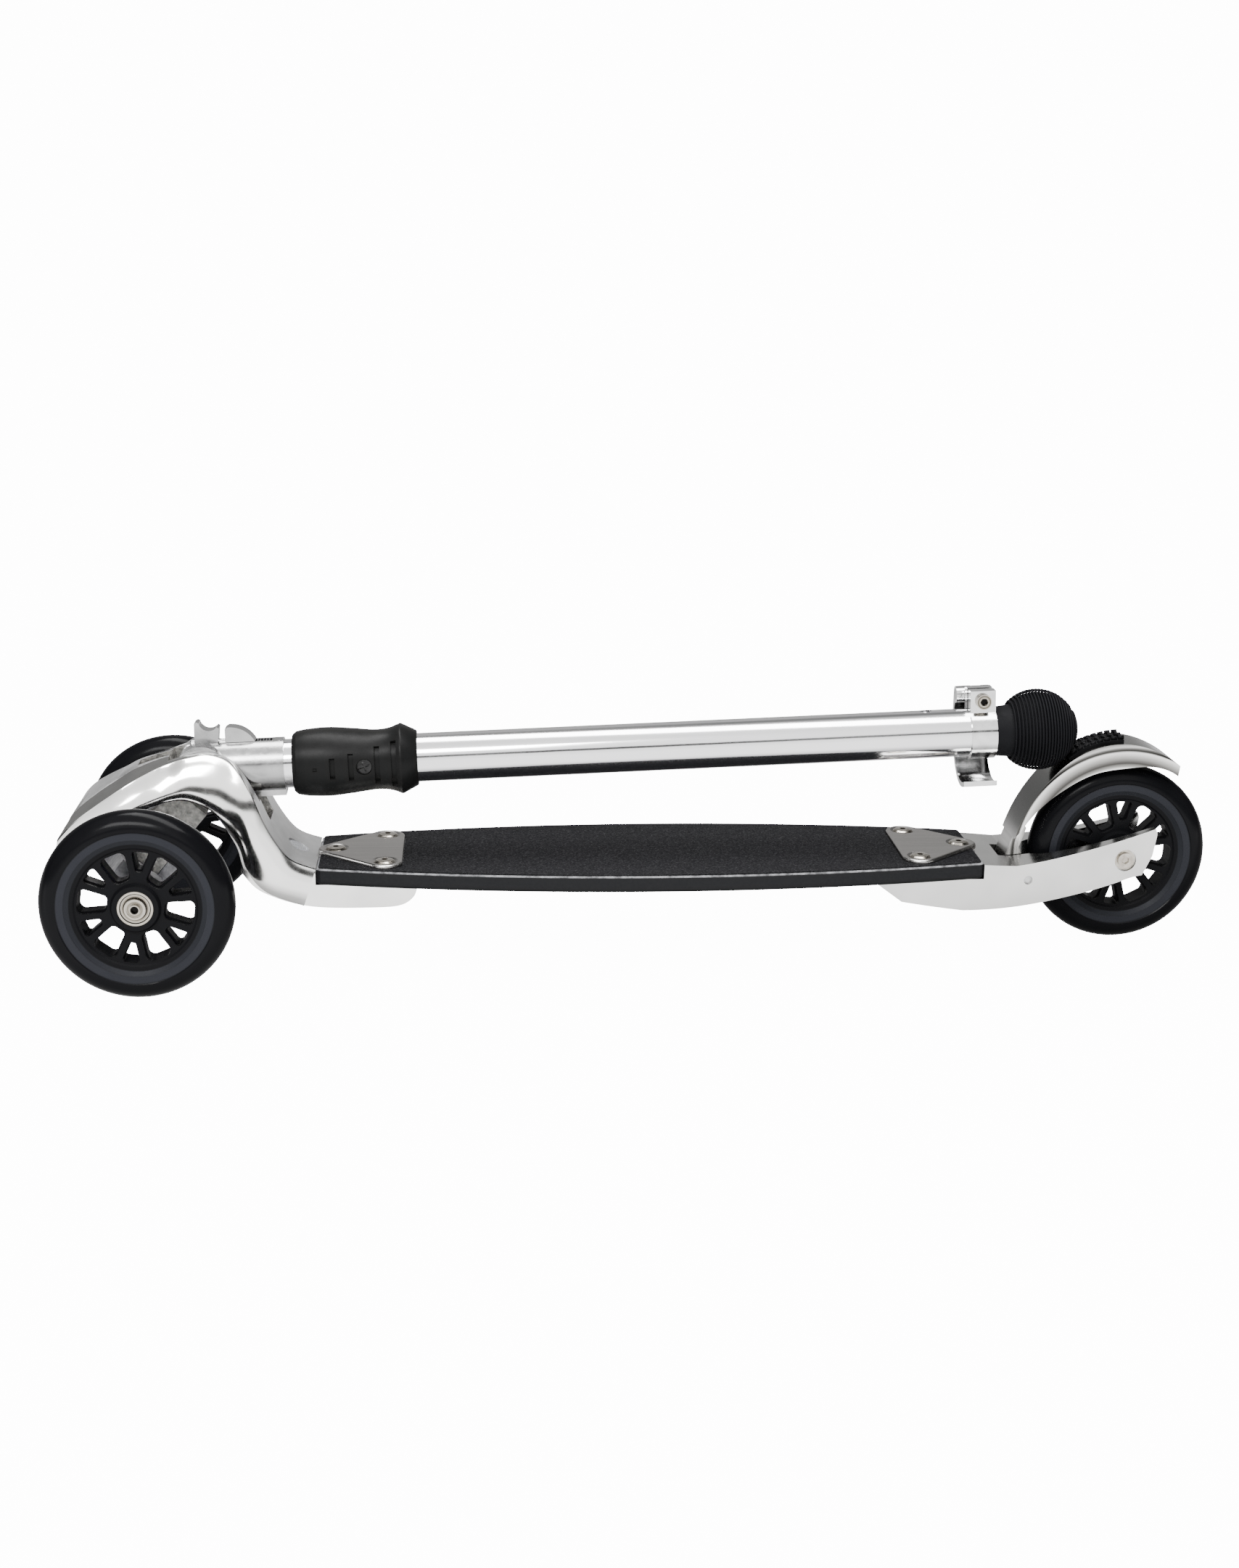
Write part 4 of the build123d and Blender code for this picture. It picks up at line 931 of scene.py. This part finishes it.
def neck_sections(stations, wall=0.0, overrun=0.0):
    """Rings of points across the arch: flat strip, shoulder, crease, bulging cheek, lower edge."""
    rings = []
    for cx, cz, lx, lz, crease, lower, strip, rise in through(stations, GAPS):
        crown = Vector((cx, 0, cz))
        down = Vector((lx, 0, lz)) - crown
        depth = down.length
        down.normalize()
        rise = max(rise, LEAST_RISE)
        step = min(0.7, (crease - 1.0 - strip) / 2)
        shoulder = min(0.4, (rise - 0.5) / 2)
        ring = [(strip - wall, wall - rise), (strip - wall + step, wall - rise + shoulder)]
        ring += [(crease - wall - 1.0, wall - 0.5), (crease - wall - 0.3, wall - 0.15)]
        ring.append((crease - wall, wall + 0.7))
        for t in (0.15, 0.35, 0.55, 0.75, 0.92):
            bulge = CHEEK_BULGE * sin(pi * t) * min(1, depth / 20)
            half = crease + (lower - crease) * t + bulge - wall
            ring.append((half, max(wall + 0.8, (depth + overrun) * t)))
        ring.append((lower - wall - 0.8, depth + overrun))
        points = [(max(half, 0.5), level) for half, level in ring]
        points = [(-half, level) for half, level in reversed(points)] + points
        rings.append([tuple(crown + down * level + Vector((0, half, 0))) for half, level in points])
    return rings


def drawn_back(rings, ahead=0):
    """Bow the first rings back along the arch, most of all in the middle; ahead counts those in front."""
    bowed = []
    for k, ring in enumerate(rings):
        fade = max(0, 1 - max(0, k - ahead) / BOW_FADE)
        spots = []
        for m, point in enumerate(ring):
            across = min(abs(rings[ahead][m][1]), BOW_HALF) / BOW_RADIUS
            place = k + BOW * fade * sqrt(1 - across ** 2)
            low = int(place)
            if low + 1 < len(rings):
                point = tuple(a + (b - a) * (place - low) for a, b in zip(rings[low][m], rings[low + 1][m]))
            spots.append(point)
        bowed.append(spots)
    return bowed


# the underside of the foot, from the arch back to its end under the board
BELLY = [(-262, 62), (-253, 51), (-242.5, 45), (-228, 40), (-211, 37.2), (-186, 36.6), (-162, 37.6),
         (-152, 43), (-149, 50)]


class SCOOTER_OT_neck(bpy.types.Operator):
    """Make the arched neck casting with its trough, hollow, pocket and foot"""

    bl_idname = "scooter.neck"
    bl_label = "Make Neck"

    def execute(self, context):
        polished, satin = MATERIALS["neck_metal"], MATERIALS["satin_metal"]
        cast = MATERIALS["cast_metal"]
        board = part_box("deck_board")
        board_bottom = board[0][2] / MM - 0.05
        deck_front = board[0][0] / MM - 0.3
        outside = drawn_back(neck_sections(NECK_STATIONS))
        count = len(outside[0])
        middle = count // 2
        strip = range(middle - 2, middle + 1)
        neck = loft("neck", outside, (polished, satin), lambda k: 1 if k in strip else 0)
        hollow = [NECK_AHEAD, *NECK_STATIONS[:-2]]
        inside = loft("inside", drawn_back(neck_sections(hollow, NECK_WALL, NECK_WALL), GAPS), (cast,))
        block = prism("block", [(-333, 140), (-333, 106), (-318, 103), (-304, 97), (-284, 82), (-283, 68),
                                (-258, 68), (-240, 80), (-236, 140)], 22.5, cast)
        cut(inside, [block], crossed=True)
        under = through(BELLY, 5)
        foot = prism("foot", [*under, (-149, board_bottom), (deck_front, board_bottom), (deck_front, 60),
                              (-240, 64)], 37.6, polished)
        lug_side = Vector(JOINTS["lean_steer"]["axis"])
        lug_down = Vector((-lug_side.z, 0, lug_side.x))
        middle_pin = Vector(JOINTS["lean_steer"]["pos_m"]) / MM
        corners = [middle_pin + lug_side * a + lug_down * b
                   for a, b in ((-14, -36), (14, -36), (14, 16), (-14, 16))]
        lug = prism("lug", [(corner.x, corner.z) for corner in corners], 11.4, cast)
        trough = [
            prism("trough", disc((PIVOT.x / MM, PIVOT.z / MM), 20.5, 64), 18, cast),
            prism("mouth", bar_outline([(-20.5, 0), (0, -20.2), (90, -20.2), (90, 41), (-20.5, 41)]), 18.001,
                  cast),
            prism("hollow", [(-300, 116), (-324, 112), (-328, 118), (-330, 140), (-300, 140)], 7, cast),
            prism("pocket", [(-262, 100), (-254, 84), (-236, 93), (-243, 112)], 12, cast)]
        facing = Vector((0.5, 0, 0.866))
        seat = cylinder("seat", Vector((-227.5, 0, 68.4)) - facing * 1.2, facing, 7.6, 6, material=satin)
        cut(neck, [*trough, seat, inside])
        merge(neck, [foot, lug])
        finish_piece(smooth(neck, 32), "chassis", "neck_metal", "neck_casting")
        return {"FINISHED"}


# ---- sleeve ----------------------------------------------------------------------------------------

# the sleeve's outline, from its front edge back: place along the bar and radius, in mm
SLEEVE_FRONT = (58.2, 18.6)
SLEEVE_OUTLINE = [(60.4, 20.6), (68, 21.9), (82, 22.5), (97, 21.2), (111, 19.7), (120.5, 20.4), (127.6, 23)]
SLEEVE_BACK = [(128.2, 23.1), (128.9, 22.9), (138.2, 18.2), (138.7, 17.6)]
SLEEVE_BORE = 15.95
# the slots: place along the bar, surface radius there, half angle round it
SLOTS = ((84.1, 22.4, 18), (96, 21.4, 25), (112.8, 19.6, 39), (123.6, 21.1, 46))
SLOT_HALF = 1.73
SLOT_DEPTH = 2.3
SCREW_AT = 104.5
SCREW_RADIUS = 4.7


class SCOOTER_OT_sleeve(bpy.types.Operator):
    """Make the clamshell sleeve with its slots and cross-head screws"""

    bl_idname = "scooter.sleeve"
    bl_label = "Make Sleeve"

    def execute(self, context):
        plastic = MATERIALS["sleeve_plastic"]
        profile = [(SLEEVE_FRONT[0], SLEEVE_BORE), SLEEVE_FRONT, *through(SLEEVE_OUTLINE, 6)]
        profile += [*SLEEVE_BACK, (SLEEVE_BACK[-1][0], SLEEVE_BORE)]
        sleeve = lathe("bar_sleeve", profile, 160, plastic)
        cutters = []
        for turn in (0, 180):
            for place, radius, half in SLOTS:
                cutters.append(arc_block("slot", place - SLOT_HALF, place + SLOT_HALF, radius - SLOT_DEPTH,
                                         radius + 4, turn - half, turn + half, material=plastic))
            cutters.append(arc_block("mark", 71.6, 74.2, 21.4, 25, turn - 3, turn + 3, 6, plastic))
        for side in (-1, 1):
            spot = PIVOT / MM + ALONG * SCREW_AT + Vector((0, side * 17.6, 0))
            cutters.append(cylinder("well", spot, (0, side, 0), 5.2, 9, material=plastic))
        for up in (-1, 1):
            edge = [(57, up * 18.4), (57, up * 26), (140, up * 26), (140, up * 18.4)]
            cutters.append(prism("seam", bar_outline(edge), 0.22, plastic))
        cut(sleeve, cutters)
        stamp = [arc_block("stamp", 72.3, 73.5, 21.2, 21.9, turn - 1.6, turn + 1.6, 4, plastic)
                 for turn in (0, 180)]
        cut(sleeve, stamp, "UNION")
        finish_piece(smooth(sleeve, 32), "bar", "sleeve_plastic", "left_sleeve", "right_sleeve")
        heads = []
        black = MATERIALS["screw_metal"]
        for side in (-1, 1):
            out = Vector((0, side, 0))
            base = PIVOT / MM + ALONG * SCREW_AT
            head = cylinder("head", base + out * 17.4, out, SCREW_RADIUS, 1.3, material=black)
            dome = cylinder("dome", base + out * 18.6, out, SCREW_RADIUS, 1.0, material=black, top=2.6)
            cut(head, [dome], "UNION")
            crosses = []
            for turn in (20, 110):
                line = Vector((cos(radians(turn)), 0, sin(radians(turn))))
                cross = Vector((-line.z, 0, line.x))
                shape = [base + line * a + cross * b
                         for a, b in ((-2.7, -0.5), (2.7, -0.5), (2.7, 0.5), (-2.7, 0.5))]
                crosses.append(prism("cross", [(spot.x, spot.z) for spot in shape], 1.1, black, side * 19.6))
            cut(head, crosses)
            heads.append(head)
        cut(heads[0], [heads[1]], "UNION")
        heads[0].name = "sleeve_screw_heads"
        finish_piece(smooth(heads[0], 30), "bar", "screw_metal", "sleeve_screws")
        return {"FINISHED"}


# ---- brake pad -------------------------------------------------------------------------------------

# the bent line under the fender that the rows of dashes follow, in mm
PAD_LINE = ((284.5, 130.2), (300.8, 138.6), (315.5, 139.9))
PAD_ROWS, PAD_ACROSS = 8, 5
PAD_WIDTH = 0.0175


def stud_tree():
    """Rows of raised dashes along a bent line, every other one turned across it."""
    tree = Builder("pad studs", {
        "Rows": "NodeSocketInt", "Across": "NodeSocketInt", "Start": "NodeSocketVector",
        "Middle": "NodeSocketVector", "End": "NodeSocketVector", "Row Width": "NodeSocketFloat",
        "Stud Size": "NodeSocketVector", "Material": "NodeSocketMaterial"})
    line = tree.add("GeometryNodeCurveQuadraticBezier")
    for label in ("Start", "Middle", "End"):
        tree.join(tree.entry, label, line, label)
    spread = tree.add("GeometryNodeCurveToPoints", mode="COUNT")
    tree.join(line, "Curve", spread, "Curve")
    tree.join(tree.entry, "Rows", spread, "Count")
    half = tree.add("ShaderNodeMath", operation="MULTIPLY")
    tree.join(tree.entry, "Row Width", half, 0)
    half.inputs[1].default_value = 0.5
    first = tree.add("ShaderNodeCombineXYZ")
    tree.join(half, "Value", first, "Y")
    minus = tree.add("ShaderNodeVectorMath", operation="SCALE")
    tree.join(first, "Vector", minus, "Vector")
    minus.inputs["Scale"].default_value = -1
    row = tree.add("GeometryNodeMeshLine", mode="END_POINTS")
    tree.join(tree.entry, "Across", row, "Count")
    tree.join(minus, "Vector", row, "Start Location")
    tree.join(first, "Vector", row, "Offset")
    stud = tree.add("GeometryNodeMeshCube")
    tree.join(tree.entry, "Stud Size", stud, "Size")
    index = tree.add("GeometryNodeInputIndex")
    odd = tree.add("ShaderNodeMath", operation="MODULO")
    tree.join(index, "Index", odd, 0)
    odd.inputs[1].default_value = 2
    quarter = tree.add("ShaderNodeMath", operation="MULTIPLY")
    tree.join(odd, "Value", quarter, 0)
    quarter.inputs[1].default_value = pi / 2
    turn = tree.add("ShaderNodeCombineXYZ")
    tree.join(quarter, "Value", turn, "Z")
    studs = tree.add("GeometryNodeInstanceOnPoints")
    tree.join(row, "Mesh", studs, "Points")
    tree.join(stud, "Mesh", studs, "Instance")
    tree.join(turn, "Vector", studs, "Rotation")
    lean = tree.add("FunctionNodeAlignRotationToVector", axis="X", pivot_axis="Y")
    tree.join(spread, "Tangent", lean, "Vector")
    rows = tree.add("GeometryNodeInstanceOnPoints")
    tree.join(spread, "Points", rows, "Points")
    tree.join(studs, "Instances", rows, "Instance")
    tree.join(lean, "Rotation", rows, "Rotation")
    tree.close(rows, "Instances")
    return tree


class SCOOTER_OT_pad(bpy.types.Operator):
    """Make the raised dashes on the brake pad"""

    bl_idname = "scooter.pad"
    bl_label = "Make Pad Studs"

    def execute(self, context):
        look = context.scene.scooter_look
        start, middle, end = (Vector((x, 0, z)) * MM for x, z in PAD_LINE)
        studs = stud_tree().run("pad_studs", {
            "Rows": PAD_ROWS, "Across": PAD_ACROSS, "Start": start, "Middle": middle, "End": end,
            "Row Width": PAD_WIDTH,
            "Stud Size": Vector((look.stud_length * 0.9, look.stud_length * 0.34, 0.0024)),
            "Material": MATERIALS["pad_rubber"]}, Matrix())
        finish_piece(studs, "fender", "pad_rubber")
        return {"FINISHED"}


# ---- panel and registration ------------------------------------------------------------------------

OPERATORS = (SCOOTER_OT_stage, SCOOTER_OT_finishes, SCOOTER_OT_neck, SCOOTER_OT_sleeve, SCOOTER_OT_knob,
             SCOOTER_OT_pad)


class SCOOTER_PT_panel(bpy.types.Panel):
    """The scooter's sizes, colours and makers"""

    bl_idname = "SCOOTER_PT_panel"
    bl_label = "Kick Scooter"
    bl_space_type = "VIEW_3D"
    bl_region_type = "UI"
    bl_category = "Kick Scooter"

    def draw(self, context):
        look = context.scene.scooter_look
        for name in ScooterLook.__annotations__:
            self.layout.prop(look, name)
        for operator in OPERATORS:
            self.layout.operator(operator.bl_idname)


CLASSES = (ScooterLook, *OPERATORS, SCOOTER_PT_panel)


def register():
    for item in CLASSES:
        bpy.utils.register_class(item)
    bpy.types.Scene.scooter_look = bpy.props.PointerProperty(type=ScooterLook)


def unregister():
    del bpy.types.Scene.scooter_look
    for item in reversed(CLASSES):
        bpy.utils.unregister_class(item)


def main():
    register()
    for operator in OPERATORS:
        group, name = operator.bl_idname.split(".")
        getattr(getattr(bpy.ops, group), name)()


if __name__ == "__main__":
    main()
